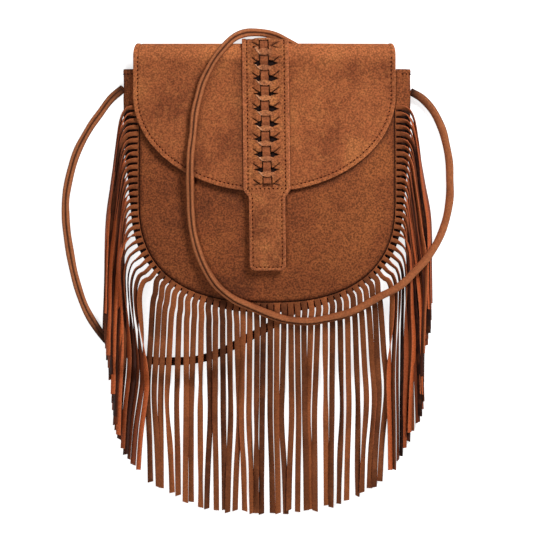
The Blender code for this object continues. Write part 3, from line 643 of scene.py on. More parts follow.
# %% Strap route
STRAP_ROUTE = [
    (-132.7, 78.3, 8.2), (-144, 69.0, 4.4), (-153.6, 56.3, 3.9), (-165, 40, 3.9), (-177, 16, 3.9),
    (-185, -16, 3.9), (-186, -40, 3.9), (-183, -67, 3.9), (-176.5, -99, 3.9), (-166, -128, 3.9),
    (-149, -153, 3.9), (-131, -166, 3.9), (-111, -172.5, 3.9), (-73, -173, 3.9), (-46, -166.5, 3.9),
    (-20, -153, 3.9), (6, -139, 3.9), (34, -119, 3.9), (60, -88, 3.9), (76, -46, 3.9), (80, 0, 3.9),
    (75, 46, 3.9), (57, 86, 3.9), (35, 111, 3.9), (15.5, 123.3, 3.9), (4, 128.2, 4.6),
    (-8, 130, 7.0), (-19.8, 129.3, 12), (-30, 124.8, 19.5), (-39, 116, 27), (-49, 103, 28.3),
    (-58.5, 84.5, 28.9), (-62.7, 70.4, 30.8), (-66.3, 53.9, 34), (-68, 35, 37.8),
    (-70, 17.6, 41.4), (-70.5, 0, 43.7), (-70.4, -16, 41.6), (-69.9, -35, 39.4),
    (-68, -53.6, 39), (-63.3, -72.3, 38.1), (-55.8, -89.2, 36.4), (-45.5, -104.2, 34),
    (-31.4, -115.5, 31.7), (-20.7, -120.5, 31), (3.3, -130.3, 30.4), (19.3, -135, 30),
    (39.3, -136.3, 29.5), (59.2, -132.9, 29.8), (79.3, -127, 31.6), (103, -114, 32.8),
    (120.8, -104.8, 31), (134.9, -91.9, 25.6), (147.8, -77.8, 18), (158.2, -61.4, 12.8),
    (165.3, -42.6, 7.4), (168.9, -22.6, 3.9), (168.9, -5, 3.9), (168.3, 11.4, 3.9),
    (165.3, 27.8, 3.9), (161.4, 41.9, 3.9), (153.5, 57.7, 3.9), (143.5, 69, 4.4),
    (132.7, 75.3, 8.2),
]
STRAP_STATIONS = 760
strap_line = np.array(STRAP_ROUTE) * MM
strap_path = smooth_route(strap_line, STRAP_STATIONS)
strap_length = np.linalg.norm(np.diff(strap_path, axis=0), axis=1).sum()
print(f"strap {strap_length:.3f} m long")

# %% Strap section
STRAP_SECTION_POINTS = 28
STRAP_FLATNESS = 0.92           # its height against its width
GROOVE_DEPTH = 1.15 * MM
GROOVE_ANGLE = 0.30             # half the opening of the seam groove, in radians
# How far the seam has turned from straight up, in degrees, at shares of the strap's length.
SEAM_TURN = [(0.0, 8), (0.1, 0), (0.2, -6), (0.33, 4), (0.5, -6), (0.60, 2), (0.70, 4),
             (0.75, 46), (0.80, 58), (0.84, 96), (0.9, 84), (1.0, 70)]


def strap_sections(path):
    """Rings of points round the path, each with a groove where the seam is."""
    heading = np.gradient(path, axis=0)
    heading /= np.linalg.norm(heading, axis=1)[:, None]
    side = np.cross(heading, [0.0, 0.0, 1.0])
    side /= np.linalg.norm(side, axis=1)[:, None]
    top = np.cross(side, heading)
    share = np.linspace(0, 1, len(path))
    turn = np.radians(np.interp(share, *zip(*SEAM_TURN)))
    angle = np.linspace(0, math.tau, STRAP_SECTION_POINTS, endpoint=False)
    # Points crowd towards the groove, which is at angle 0.
    angle = angle - 0.55 * np.sin(angle)
    around = np.abs((angle + math.pi) % math.tau - math.pi)
    groove = GROOVE_DEPTH * np.exp(-(around / GROOVE_ANGLE) ** 2)
    swell = 0.25 * MM * np.exp(-((around - 0.8) / 0.35) ** 2)
    rings = []
    for i, centre in enumerate(path):
        dents = 0.12 * MM * math.sin(i * 0.37) + 0.1 * MM * math.sin(i * 0.153 + 1.0)
        radius = STRAP_DIAMETER / 2 + dents - groove + swell
        across = radius * np.sin(angle + turn[i])
        high = radius * np.cos(angle + turn[i]) * STRAP_FLATNESS
        rings.append(centre + across[:, None] * side[i] + high[:, None] * top[i])
    return np.array(rings), np.tile(around, (len(path), 1))


print(len(SEAM_TURN), "places say how far the strap's seam has turned")

# %% Strap tube
# Shares of the length between which the strap lies in the shade of the fringe, where it is darker.
SHADED = (0.15, 0.31)
END_SHADE_REACH = 11 * MM       # both ends go up into the dark beside the flap


def build_strap():
    rings, around = strap_sections(strap_path)
    count, sides = rings.shape[:2]
    verts = np.concatenate([rings.reshape(-1, 3), strap_path[:1], strap_path[-1:]])
    grid, faces = tube_faces(count, sides)
    after = np.roll(grid, -1, axis=1)
    faces += [(a, count * sides, b) for a, b in zip(grid[0], after[0])]
    faces += [(a, b, count * sides + 1) for a, b in zip(grid[-1], after[-1])]
    # Painted shade in the seam groove, along the stretch under the fringe and at both ends.
    seam = np.exp(-(around / (GROOVE_ANGLE * 0.8)) ** 2) * 0.95
    share = np.linspace(0, 1, count)[:, None]
    covered = smooth((share - SHADED[0]) / 0.03) * smooth((SHADED[1] - share) / 0.03)
    from_end = np.minimum(share, 1 - share) * strap_length
    dark_end = np.exp(-from_end / END_SHADE_REACH)
    painted_shade = np.maximum(np.maximum(seam, 0.9 * covered), 0.95 * dark_end)
    inset = np.abs(around - 0.62) * 3.2
    marks = {"painted_shade": np.append(painted_shade.ravel(), [0, 0]),
             "inset_mm": np.append(inset.ravel(), [9, 9])}
    strap = add_piece("strap_cord", verts, faces, STRAP_SUEDE, ["strap"], marks)
    return strap


strap = build_strap()

# %% [markdown]
# ## The body
# A stuffed bag is no box: the front domes up, rolls down into its seam and dents a little where the
# hand has pressed it. A cloth simulation could puff it up, but it would lose the seam's clean line, so
# the form is a formula: a dome, a roll near the rim and soft dents. The strap lies under the bag, and
# whatever rests on it is lifted.

# %% Heights of the body
HIDDEN_FIRST = 9                # the strap's points that lie under the fringe and the bag
HIDDEN_LAST = 24
LIFT_PLATEAU = 8.0 * MM
LIFT_REACH = 24.0 * MM
LIFT_FULL_HEIGHT = 4.0 * MM
LIFT_FADE_HEIGHT = 18.5 * MM
STRAP_CLEARANCE = 0.8 * MM
hidden_line = strap_line[HIDDEN_FIRST:HIDDEN_LAST + 1, :2]


def strap_lift(xy, spare=0.0):
    """Height that the strap underneath gives to what lies on the floor."""
    near = np.minimum(distance_to_line(xy, hidden_line), LIFT_REACH + spare)
    return ((STRAP_DIAMETER + STRAP_CLEARANCE)
            * smooth((LIFT_REACH + spare - near) / (LIFT_REACH - LIFT_PLATEAU)))


def lifted(points, spare=0.0):
    """Raise points over the strap: what lies low rises fully, what lies high stays."""
    left = 1 - (points[..., 2] - LIFT_FULL_HEIGHT) / (LIFT_FADE_HEIGHT - LIFT_FULL_HEIGHT)
    return points + up(strap_lift(points[..., :2], spare) * np.clip(left, 0.0, 1.0))


def body_blend(y):
    """0 at the mouth, 1 from the shoulder down."""
    return smooth((MOUTH_Y - y) / (MOUTH_Y - PANEL_SHOULDER_Y))


def seam_height(y):
    return mix(SEAM_HEIGHT_MOUTH, SEAM_HEIGHT, body_blend(y))


def front_height(x, y):
    """The plain dome of the front panel."""
    below = np.maximum(0.0, PANEL_SHOULDER_Y - y) / (PANEL_SHOULDER_Y - PANEL_BOTTOM_Y)
    edge = (np.abs(x) / PANEL_HALF_WIDTH) ** PANEL_CORNER_POWER + below ** PANEL_CORNER_POWER
    rise = mix(FRONT_RISE_MOUTH, FRONT_RISE, body_blend(y))
    return seam_height(y) + rise * (1.0 - np.minimum(1.0, edge))


# %% Outlines
def rounded_bottom(half_width, top_y, depth, power, count):
    """Points along a rounded lower edge, from the left to the right."""
    angle = np.linspace(0, math.pi, 801)
    side = -np.sign(np.cos(angle)) * np.abs(np.cos(angle)) ** (2 / power)
    low = np.abs(np.sin(angle)) ** (2 / power)
    return resample(np.stack([half_width * side, top_y - depth * low], 1), count)


def panel_bottom(count):
    return rounded_bottom(PANEL_HALF_WIDTH, PANEL_SHOULDER_Y, PANEL_SHOULDER_Y - PANEL_BOTTOM_Y,
                          PANEL_CORNER_POWER, count)


def seam_line(top_y, count):
    """The front seam: down the left side, round the bottom and up the right side."""
    ends = [[[-PANEL_HALF_WIDTH, top_y]], panel_bottom(400), [[PANEL_HALF_WIDTH, top_y]]]
    return resample(np.concatenate(ends), count)


def flap_outline(count):
    arc = rounded_bottom(FLAP_HALF_WIDTH, FLAP_SHOULDER_Y, FLAP_DEPTH, 2.0, 400)
    line = np.concatenate([[[-FLAP_HALF_WIDTH, FOLD_Y]], arc, [[FLAP_HALF_WIDTH, FOLD_Y]]])
    return resample(line + [FLAP_CENTRE_X, 0], count)


def under_flap(x, y):
    """Which places of the front lie under the flap."""
    across = (x - FLAP_CENTRE_X) / FLAP_HALF_WIDTH
    down = np.maximum(0, FLAP_SHOULDER_Y - y) / FLAP_DEPTH
    return across ** 2 + down ** 2 < 1


def outward(points):
    """Unit normals of the seam, away from the bag."""
    along = np.gradient(points, axis=0)
    normal = np.stack([along[:, 1], -along[:, 0]], 1)
    return normal / np.linalg.norm(normal, axis=1)[:, None]


def columns_over(edge, top_y, count, near=0.0):
    """Columns of points from an edge up to top_y, crowded near both ends if near is above 0."""
    share = np.linspace(0, 1, count)
    share = share - near * np.sin(math.tau * share) / math.tau
    y = edge[:, 1:2] + (top_y - edge[:, 1:2]) * share
    return np.stack([np.repeat(edge[:, :1], count, axis=1), y], -1)


# %% Front panel
FRONT_COLUMNS = 220
FRONT_ROWS = 110
ROLL_WIDTH = 4.5 * MM           # how wide the panel's edge rolls down into the seam
ROLL_DEPTH = 1.9 * MM
DENT_SIZE = 55.0 * MM
DENT_DEPTH = 1.1 * MM


def build_front_panel():
    outline = seam_line(MOUTH_Y + 30 * MM, 500)
    xy = columns_over(panel_bottom(FRONT_COLUMNS), MOUTH_Y, FRONT_ROWS, 0.7)
    inset = distance_to_line(xy, outline)
    x, y = xy[..., 0], xy[..., 1]
    roll = ROLL_DEPTH * (1 - np.clip(inset / ROLL_WIDTH, 0, 1)) ** 2.5
    inside = smooth(inset / (25 * MM))
    dents = DENT_DEPTH * soft_noise(x, y, DENT_SIZE, 3.1) * inside
    # Short puckers run in from the seam, where the thread gathers the suede.
    pucker = 0.16 * MM * np.sin(np.arctan2(y - 20 * MM, x) * 150) * np.exp(-inset / (3 * MM))
    height = front_height(x, y) - roll + np.minimum(dents, 0.4 * MM) + pucker
    # Painted shade runs along the seam, and a painted shadow of the flap lies just below its edge.
    below_flap = distance_to_line(xy, flap_outline(200)) * np.where(under_flap(x, y), 0, 1)
    shade = np.maximum(0.85 * np.exp(-(inset / (1.5 * MM)) ** 2),
                       0.5 * np.exp(-(below_flap / (3.4 * MM)) ** 1.6))
    outer = np.concatenate([xy, height[..., None]], -1)
    inner = outer - up(2 * rounded_half(inset, PANEL_THICKNESS))
    return add_sheet("front_panel_suede", outer, inner, PANEL_SUEDE,
                     ["front_panel"], {"inset_mm": inset / MM, "painted_shade": shade})


front_panel = build_front_panel()

# %% [markdown]
# The back panel lies flat on the floor, apart from where the strap passes under it.

# %% Back panel
BACK_COLUMNS = 150
BACK_ROWS = 120


def build_back_panel():
    outline = seam_line(BACK_TOP_Y, 500)
    xy = columns_over(panel_bottom(BACK_COLUMNS), BACK_TOP_Y, BACK_ROWS, 0.5)
    inset = distance_to_line(xy, closed_ring(outline))
    flat = np.concatenate([xy, np.zeros(xy.shape[:2] + (1,))], -1)
    under = lifted(flat)
    half = rounded_half(inset, PANEL_THICKNESS)
    outer = under + up(PANEL_THICKNESS / 2 - half)
    inner = under + up(PANEL_THICKNESS / 2 + half)
    return add_sheet("back_panel_suede", outer, inner, PANEL_SUEDE, ["back_panel"],
                     {"inset_mm": inset / MM})


back_panel = build_back_panel()

# %% [markdown]
# The gusset is the strip between the two panels. It bulges out, and its two upper ends are turned in
# and sewn, which shows beside the flap.

# %% Gusset
GUSSET_COLUMNS = 260
GUSSET_ROWS = 21
FRINGE_TOP_Y = 62.0 * MM
STRAND_THICKNESS = 1.1 * MM
HEM_DEPTH = 3.4 * MM


def gusset_bulge(edge):
    """How far the gusset bulges: full beside the flap, least at the lower corners."""
    x, y = np.abs(edge[:, 0]), edge[:, 1]
    side = mix(GUSSET_BULGE, GUSSET_BULGE_SIDE, smooth((45 * MM - y) / (95 * MM)))
    low = mix(GUSSET_BULGE_CORNER, GUSSET_BULGE_BOTTOM, smooth((75 * MM - x) / (50 * MM)))
    return mix(side, low, smooth((-62 * MM - y) / (40 * MM)))


def gusset_point(edge, normal, u):
    """Middle of the gusset's thickness and its outward face, u from the back seam to the front."""
    bulge = gusset_bulge(edge)
    low = strap_lift(edge) + PANEL_THICKNESS / 2
    high = seam_height(edge[:, 1]) - STRAND_THICKNESS - GAP - PANEL_THICKNESS / 2
    away = GAP + PANEL_THICKNESS / 2 + bulge * np.sin(math.pi * u)
    middle = np.concatenate([edge + normal * away[:, None], mix(low, high, u)[:, None]], 1)
    climb = bulge * math.pi * np.cos(math.pi * u)
    face = np.concatenate([normal * (high - low)[:, None], -climb[:, None]], 1)
    return middle, face / np.linalg.norm(face, axis=1)[:, None]


def build_gusset():
    edge = seam_line(MOUTH_Y, GUSSET_COLUMNS)
    normal = outward(edge)
    along = run_lengths(edge)
    from_end = np.minimum(along, along[-1] - along)
    outer, inner = [], []
    for u in np.linspace(0, 1, GUSSET_ROWS):
        middle, face = gusset_point(edge, normal, np.full(len(edge), u))
        ripple = 0.5 * MM * np.sin(along / (9 * MM)) * math.sin(math.pi * u)
        pull = 0.35 * MM * np.exp(-((from_end - HEM_DEPTH) / (0.9 * MM)) ** 2)
        half = rounded_half(from_end, PANEL_THICKNESS)
        turned_in = smooth((HEM_DEPTH + 1.5 * MM - from_end) / (1 * MM))
        hem = 0.35 * MM * turned_in * math.sin(math.pi * u)
        outer.append(middle + face * (half + hem - pull - np.abs(ripple) * 0.6)[:, None])
        inner.append(middle - face * half[:, None])
    outer, inner = np.array(outer).transpose(1, 0, 2), np.array(inner).transpose(1, 0, 2)
    inset = np.repeat(from_end[:, None] / MM, GUSSET_ROWS, axis=1)
    # Under the fringe the gusset gets painted shade.
    covered = smooth((FRINGE_TOP_Y + 2 * MM - edge[:, 1:2]) / (8 * MM))
    shade = 0.95 * covered * smooth((np.linspace(0, 1, GUSSET_ROWS) - 0.3) / 0.4)
    return add_sheet("gusset_suede", outer, inner, PANEL_SUEDE, ["gusset"],
                     {"inset_mm": inset, "painted_shade": shade})


gusset = build_gusset()

# %% [markdown]
# ## The flap
# The flap's edge is turned under and sewn 4 mm in, so it is a little thicker there, with a groove
# where the thread pulls. Columns of points run from the curved edge up over the fold and down behind
# to the seam in the back. They crowd near the edge, where the shape is fine.

# %% Over the fold
STRIP_HALF_WIDTH = 21.5 * MM
STRIP_THICKNESS = 1.4 * MM
STRIP_TOP_X = -1.7 * MM
STRIP_END_X = 0.8 * MM
STRIP_FOLD_REACH = 15.0 * MM
TAB_END_Y = -89.7 * MM


def over_fold(x, stage, value, front, rear, reach):
    """Points and outward normals of a sheet that turns over the mouth.

    stage is 0 on the front, 1 on the fold and 2 behind. value is y on the front and behind, and
    the angle from the front on the fold.
    """
    angle = np.where(stage == 0, 0.0, np.where(stage == 1, value, math.pi))
    y = np.where(stage == 1, FOLD_Y + reach * np.sin(angle), value)
    share = (1 + np.cos(angle)) / 2
    z = np.where(stage == 0, front(x, value), mix(rear, front(x, FOLD_Y), share))
    normal = np.stack([np.zeros_like(x), np.sin(angle), np.cos(angle)], -1)
    return np.stack([x, y, z], -1), normal


def flap_front(x, y):
    """Middle of the flap's thickness over the front panel."""
    down = (FOLD_Y - y) / (FOLD_Y - FLAP_SHOULDER_Y + FLAP_DEPTH)
    air = mix(FLAP_GAP_TOP, FLAP_GAP_EDGE, smooth(down * 1.1))
    return front_height(x - FLAP_CENTRE_X, y) + air + FLAP_THICKNESS / 2


def strip_axis(y):
    """The strip leans a little, so its middle moves over as it runs down."""
    top = FOLD_Y + STRIP_FOLD_REACH
    return mix(STRIP_TOP_X, STRIP_END_X, (top - y) / (top - TAB_END_Y))


# %% Flap
FLAP_COLUMNS = 260
FLAP_FRONT_ROWS = 96
FLAP_FOLD_ROWS = 16
FLAP_STITCH_INSET = 4.2 * MM
BRAID_HALF_WIDTH = 13.0 * MM
BRAID_TOP_Y = 108.0 * MM
BRAID_END_Y = -9.0 * MM
FLAP_LIFT_SPARE = 9.0 * MM
STRAP_OVER_FLAP = slice(28, 41)  # the strap's points that lie over the flap


def flap_rows():
    """(stage, share or angle) of each row, from the hidden rear seam to the front edge."""
    rows = [(2, BACK_TOP_Y - FLAP_SEAM_OVERLAP), (2, BACK_TOP_Y - 4 * MM), (2, BACK_TOP_Y),
            (2, mix(BACK_TOP_Y, FOLD_Y, 0.6))]
    rows += [(1, angle) for angle in np.linspace(math.pi, 0, FLAP_FOLD_ROWS)]
    share = np.linspace(0, 1, FLAP_FRONT_ROWS + 1)[1:]
    rows += [(0, part) for part in 1 - (1 - share) ** 1.5]
    return rows


def flap_groove(inset):
    """Extra height at the turned edge, in metres: a soft roll, a groove, then the plain sheet."""
    roll = 0.3 * MM * smooth((FLAP_STITCH_INSET - inset) / (1.5 * MM))
    return roll - 0.5 * MM * np.exp(-((inset - FLAP_STITCH_INSET) / (0.7 * MM)) ** 2)


def build_flap():
    edge = rounded_bottom(FLAP_HALF_WIDTH, FLAP_SHOULDER_Y, FLAP_DEPTH, 2.0, FLAP_COLUMNS)
    stages = np.array([stage for stage, value in flap_rows()])
    values = np.array([value for stage, value in flap_rows()])
    stage = np.broadcast_to(stages, (len(edge), len(stages)))
    part = np.broadcast_to(values, stage.shape)
    value = np.where(stage == 0, mix(FOLD_Y, edge[:, 1:2], part), part)
    turn = np.where(stage == 1, smooth(value / math.pi), np.where(stage == 2, 1.0, 0.0))
    width = mix(FLAP_HALF_WIDTH, FLAP_REAR_HALF_WIDTH, turn)
    x = (edge[:, :1] + FLAP_CENTRE_X * (stage != 2)) * width / FLAP_HALF_WIDTH
    rear = PANEL_THICKNESS + GAP + FLAP_THICKNESS / 2
    middle, normal = over_fold(x, stage, value, flap_front, rear, FLAP_FOLD_REACH)
    outline = flap_outline(600)
    side = width - np.abs(edge[:, :1]) * width / FLAP_HALF_WIDTH
    inset = np.where(stage == 0, distance_to_line(middle[..., :2], outline), side)
    dents = 1.3 * MM * soft_noise(x, middle[..., 1], 48 * MM, 7.7) * smooth(inset / (18 * MM))
    dents = np.minimum(dents, 0.3 * MM) * (stage == 0) * smooth((FOLD_Y - value) / (20 * MM))
    half = rounded_half(inset, FLAP_THICKNESS)
    shape = (half + flap_groove(inset) + dents)[..., None]
    outer = lifted(middle + normal * shape, FLAP_LIFT_SPARE)
    inner = lifted(middle - normal * half[..., None], FLAP_LIFT_SPARE)
    # Under the pierced strip the flap lies in deep shade, which is painted on as a dark colour.
    y = middle[..., 1]
    across = np.abs(x - strip_axis(y)) - BRAID_HALF_WIDTH
    under = smooth(-across / (2 * MM)) * smooth((BRAID_TOP_Y - y) / (3 * MM))
    under = under * smooth((y - BRAID_END_Y) / (3 * MM)) * (stage == 0)
    # Painted shadow lies beside the strap and beside the strip, and the fold gets a painted highlight.
    beside = distance_to_line(middle[..., :2], strap_line[STRAP_OVER_FLAP, :2]) - STRAP_DIAMETER / 2
    beside_shadow = 0.34 * np.exp(-np.maximum(beside, 0) / (5 * MM)) * (stage == 0)
    # Painted shadow beside the strip, wider on its left.
    across = x - strip_axis(y)
    beside = np.maximum(np.abs(across) - STRIP_HALF_WIDTH, 0)
    beside_strip = np.where(across < 0, 0.5 * np.exp(-beside / (6 * MM)),
                            0.4 * np.exp(-beside / (2 * MM)))
    beside_shadow = np.maximum(beside_shadow, beside_strip * smooth((112 * MM - y) / (12 * MM)) * (stage == 0))
    # Painted highlight: the fold is painted paler where it curves over the mouth.
    lightened = 0.3 * smooth((y - 101 * MM) / (9 * MM)) * (stage != 2) * (1 - np.clip(under, 0, 1))
    return add_sheet("flap_suede", outer, inner, FLAP_SUEDE, ["flap"],
                     {"inset_mm": inset / MM, "painted_shade": np.maximum(under, beside_shadow), "lighten": lightened})


flap = build_flap()

# %% [markdown]
# ## Stitches
# Each stitch is a short capsule that dips at both ends, as thread does where it enters the suede. A
# bump texture would be cheaper, but it has no shadow of its own from the side.

# %% Stitch rows
STITCH_PITCH = 3.8 * MM
STITCH_LENGTH = 2.2 * MM
THREAD_RADIUS = 0.58 * MM
STITCH_SIDES = 8
STITCH_RINGS = 7


def stitch_row(path, normals):
    """Points and faces of evenly spread stitches along a path on a surface."""
    along = run_lengths(path)
    count = int(along[-1] / STITCH_PITCH)
    verts, faces = [], []
    for k in range(count):
        start = (k + 0.5) * along[-1] / count - STITCH_LENGTH / 2
        first = len(verts)
        for share in np.linspace(0, 1, STITCH_RINGS):
            here = start + share * STITCH_LENGTH
            centre = read_at(here, along, path)
            normal = read_at(here, along, normals)
            heading = read_at(here + 0.1 * MM, along, path) - centre
            heading /= max(np.linalg.norm(heading), 1e-9)
            side = np.cross(heading, normal)
            arch = math.sin(math.pi * share)
            radius = THREAD_RADIUS * max(0.25, math.sqrt(arch))
            centre = centre + normal * (arch - 0.75) * THREAD_RADIUS
            centre = centre + side * (share - 0.5) * 0.35 * MM
            for s in range(STITCH_SIDES):
                turn = math.tau * s / STITCH_SIDES
                verts.append(centre + radius * (side * math.cos(turn) + normal * math.sin(turn)))
        grid, walls = tube_faces(STITCH_RINGS, STITCH_SIDES, first)
        faces += walls + [grid[0][::-1], grid[-1]]
    return verts, faces


def add_stitches(name, rows):
    """Join several stitch rows into one piece of thread."""
    verts, faces = [], []
    for path, normals in rows:
        more, sides = stitch_row(path, normals)
        faces += [tuple(int(corner) + len(verts) for corner in face) for face in sides]
        verts += more
    return add_piece(name, verts, faces, THREAD)


# %% Flap stitching
def flap_stitch_path():
    """The turned edge's seam, 4.2 mm inside the outline, down one side and up the other."""
    line = flap_outline(600)
    inward = -outward(line)
    xy = line + inward * FLAP_STITCH_INSET
    height = flap_front(xy[:, 0], xy[:, 1]) + FLAP_THICKNESS / 2 - 0.3 * MM
    path = np.concatenate([xy, height[:, None]], 1)
    near_strip = np.abs(xy[:, 0] - strip_axis(xy[:, 1])) < STRIP_HALF_WIDTH
    cut = np.where(near_strip & (xy[:, 1] < 0))[0]
    halves = [path[:cut[0]], path[cut[-1] + 1:]]
    return [(half, np.tile([0.0, 0.0, 1.0], (len(half), 1))) for half in halves]


flap_stitches = add_stitches("flap_stitching", flap_stitch_path())

# %% [markdown]
# The thread that closes the front seam is hardly seen, but without it daylight from the floor would
# show between the panel and the fringe. A thin dark tube along the seam does for all its stitches.

# %% Seam and hem thread
SEAM_THREAD_RADIUS = 0.5 * MM
SEAM_THREAD_SIDES = 6
SEAM_THREAD_DROP = 3.3 * MM     # below the top of the seam, inside the fold of the panel's edge


def build_seam_thread():
    """The thread that closes the front seam, deep between the panel and the fringe."""
    edge = seam_line(MOUTH_Y - 2 * MM, 500)
    normal = outward(edge)
    middle = edge + normal * 0.25 * MM
    path = np.concatenate([middle, (seam_height(middle[:, 1]) - SEAM_THREAD_DROP)[:, None]], 1)
    sideways = np.append(normal, np.zeros((len(path), 1)), 1) * SEAM_THREAD_RADIUS
    upward = up(np.full(len(path), SEAM_THREAD_RADIUS))
    turn = np.linspace(0, math.tau, SEAM_THREAD_SIDES, endpoint=False)
    rings = np.stack([path + upward * math.sin(a) + sideways * math.cos(a) for a in turn], 1)
    grid, faces = tube_faces(len(path), SEAM_THREAD_SIDES)
    faces += [grid[0][::-1].tolist(), grid[-1].tolist()]
    return add_piece("seam_thread", rings.reshape(-1, 3), faces, THREAD)


def hem_stitch_paths():
    """Stitches across the gusset's two turned-in ends."""
    paths = []
    edge = seam_line(MOUTH_Y, GUSSET_COLUMNS)
    normal = outward(edge)
    for index in (2, GUSSET_COLUMNS - 2):
        here = slice(index, index + 1)
        points, normals = [], []
        for u in np.linspace(0.12, 0.9, 60):
            middle, face = gusset_point(edge[here], normal[here], np.array([u]))
            points.append(middle[0] + face[0] * (PANEL_THICKNESS / 2 + 0.15 * MM))
            normals.append(face[0])
        paths.append((np.array(points), np.array(normals)))
    return paths


seam_thread = build_seam_thread()
hem_stitches = add_stitches("hem_stitching", hem_stitch_paths())

# %% [markdown]
# ## The fringe
# The fringe is one band of suede caught in the front seam and cut into strips almost up to the seam.
# On the bottom the strips hang down flat. At the sides they leave the seam sideways, and a flat strip
# can't bend in its own plane, so each turns on its edge and they pile up beside the bag. Hair
# particles would be quick, but they have no width. So each strip is a ribbon with its own route.

# %% Fringe sizes
STRAND_LENGTH = 195.0 * MM
STRAND_WIDTH = 5.2 * MM
STRAND_PITCH = 6.1 * MM
STRAND_FALL = 95.0 * MM         # length over which a strand sinks to the floor
HEADER_WIDTH = 4.6 * MM
BOTTOM_BAND_HALF_WIDTH = 88.0 * MM
STRAND_RINGS = 66
PILE_STRANDS = 20               # the upper strands of a side, which lie in one pile
SIDE_STRANDS = 25               # all strands that turn on edge
LAYER = 5.3 * MM                # how far a strand on top of the pile lies above the floor
# Where the strands of each side lie, counted from the uppermost: (strand, millimetres from the
# bag's middle), after the turn, half way down and at the tip.
LANES = {
    "left": {"turn": [(0, 137.5), (10, 134.0), (18, 132.0), (19, 136.0), (21, 131.0),
                      (23, 125.0), (25, 117.5)],
             "half": [(0, 147.5), (10, 143.0), (16, 137.5), (18, 131.0), (19, 134.5), (21, 127.0),
                      (23, 119.5), (25, 111.5)],
             "tip": [(0, 150.0), (5, 148.5), (10, 144.5), (18, 139.5), (20, 137.0),
                     (22, 132.5), (24, 126.0), (25, 121.0)]},
    "right": {"turn": [(0, 138.5), (6, 136.0), (10, 132.5), (18, 128.5), (19, 132.5), (21, 128.0),
                       (23, 122.5), (25, 115.5)],
              "half": [(0, 150.0), (10, 145.0), (16, 139.0), (18, 132.0), (19, 136.0), (21, 129.0),
                       (23, 121.0), (25, 113.0)],
              "tip": [(0, 151.0), (4, 149.5), (8, 141.0), (14, 144.0), (17, 141.0), (18, 134.0),
                      (21, 127.0), (23, 122.0), (25, 115.0)]},
}
# Dark and light strands by turns, as the pile shows its shaded and its lit sides. Every third
# strand lies on top of the pile.
SIDE_TONES = [0.38, 1.0, 0.08, 0.5, 0.04, 0.24]
ROOT_TONE = 0.8
BOTTOM_FLARE_HALF = 13.0 * MM
BOTTOM_FLARE_TIP = 8.0 * MM


# %% Strand routes
def strand_roots():
    """Root and outward direction of each strand, from the bottom's middle up the right side."""
    line = seam_line(FRINGE_TOP_Y, 2400)
    line = resample(line[line[:, 0] >= 0], 2000)
    normal = outward(line)
    total = np.linalg.norm(np.diff(line, axis=0), axis=1).sum()
    count = int((total - STRAND_PITCH / 2) / STRAND_PITCH) + 1
    places = ((np.arange(count) + 0.5) * STRAND_PITCH / total * 2000).astype(int)
    return [(line[i], normal[i], count - 1 - k) for k, i in enumerate(places)]


def strand_plan(root, away, rank, side, rng):
    """Plan of one strand, seen from above: out of the header, round, and down to its tip."""
    start = root + away * (GAP + HEADER_WIDTH)
    length = STRAND_LENGTH - HEADER_WIDTH + rng.uniform(-2.5, 2.5) * MM
    lanes = LANES[side]
    if rank <= SIDE_STRANDS:
        turn, half, tip = [np.interp(rank, *zip(*lanes[key])) * MM
                           for key in ("turn", "half", "tip")]
        jitter = rng.uniform(-1, 1)
        turn += 0.3 * MM * jitter
        half += 0.7 * MM * jitter
        tip += 1.0 * MM * jitter
    else:
        flare = smooth((root[0] - 38 * MM) / (62 * MM))
        # Neighbours lean together in small groups, so some gaps close and others open.
        group = noise.noise(Vector((start[0] / (9 * MM), len(side) * 3.7, 0.5)))
        turn = start[0] + BOTTOM_FLARE_HALF * 0.55 * flare + 1.2 * MM * group
        half = start[0] + BOTTOM_FLARE_HALF * flare + (3.4 * group + rng.uniform(-1.6, 1.6)) * MM
        tip = start[0] + BOTTOM_FLARE_TIP * flare + (1.6 * group + rng.uniform(-2.8, 2.8)) * MM
    sideways = turn - start[0]
    if rank <= SIDE_STRANDS:
        drop = 14 * MM + 0.9 * abs(sideways)
        bend = [start, start + away * 0.45 * abs(sideways) - np.array([0, 1.8 * MM]),
                np.array([turn - 0.22 * sideways, start[1] - drop * 0.38]),
                np.array([turn, start[1] - drop])]
    else:
        drop = 26 * MM
        bend = [start, start + away * 5 * MM,
                np.array([turn - 0.33 * sideways, start[1] - 15 * MM]),
                np.array([turn, start[1] - drop])]
    quarter = mix(turn, half, 0.55)
    points = bend + [np.array([quarter, start[1] - drop - 0.22 * length]),
                     np.array([half, start[1] - 0.55 * length]),
                     np.array([mix(half, tip, 0.6), start[1] - 0.8 * length]),
                     np.array([tip, start[1] - 1.1 * length])]
    fine = smooth_route(points, 400)
    along = run_lengths(fine)
    want = np.linspace(0, min(length, along[-1]), STRAND_RINGS)
    return read_at(want, along, fine), want


def strand_lean(share, rank, rng, on_top):
    """How far the strand has turned about its own line at each place, in radians."""
    start = rng.uniform(0, 50)
    wander = np.array([noise.noise(Vector((start, s * 3.2, 0.5))) for s in share])
    if rank > SIDE_STRANDS:
        strong = 62 if rng.random() < 0.2 else 24
        return np.radians(strong * 2 * wander * smooth(share * 2.2))
    upright = rng.uniform(70, 92)
    lower = rng.choice([rng.uniform(26, 58), rng.uniform(118, 152), rng.uniform(118, 152)])
    if on_top:
        upright = mix(upright, lower, 0.65)
    upright *= smooth(np.interp(rank, [SIDE_STRANDS - 5, SIDE_STRANDS + 1], [1.4, 0.25]))
    turned = 1 - np.exp(-share / 0.024)
    eased = mix(upright, lower, smooth((share - 0.2) / 0.35))
    return np.radians(eased * turned + 22 * wander * share)


# %% Strand ribbons
CHAMFER = 0.22 * MM
SECTION = [(-1, 1, 1, 0), (1, 1, -1, 0), (1, 1, 0, -1), (1, -1, 0, 1),
           (1, -1, -1, 0), (-1, -1, 1, 0), (-1, -1, 0, 1), (-1, 1, 0, -1)]
SECTION_SIDES = len(SECTION)
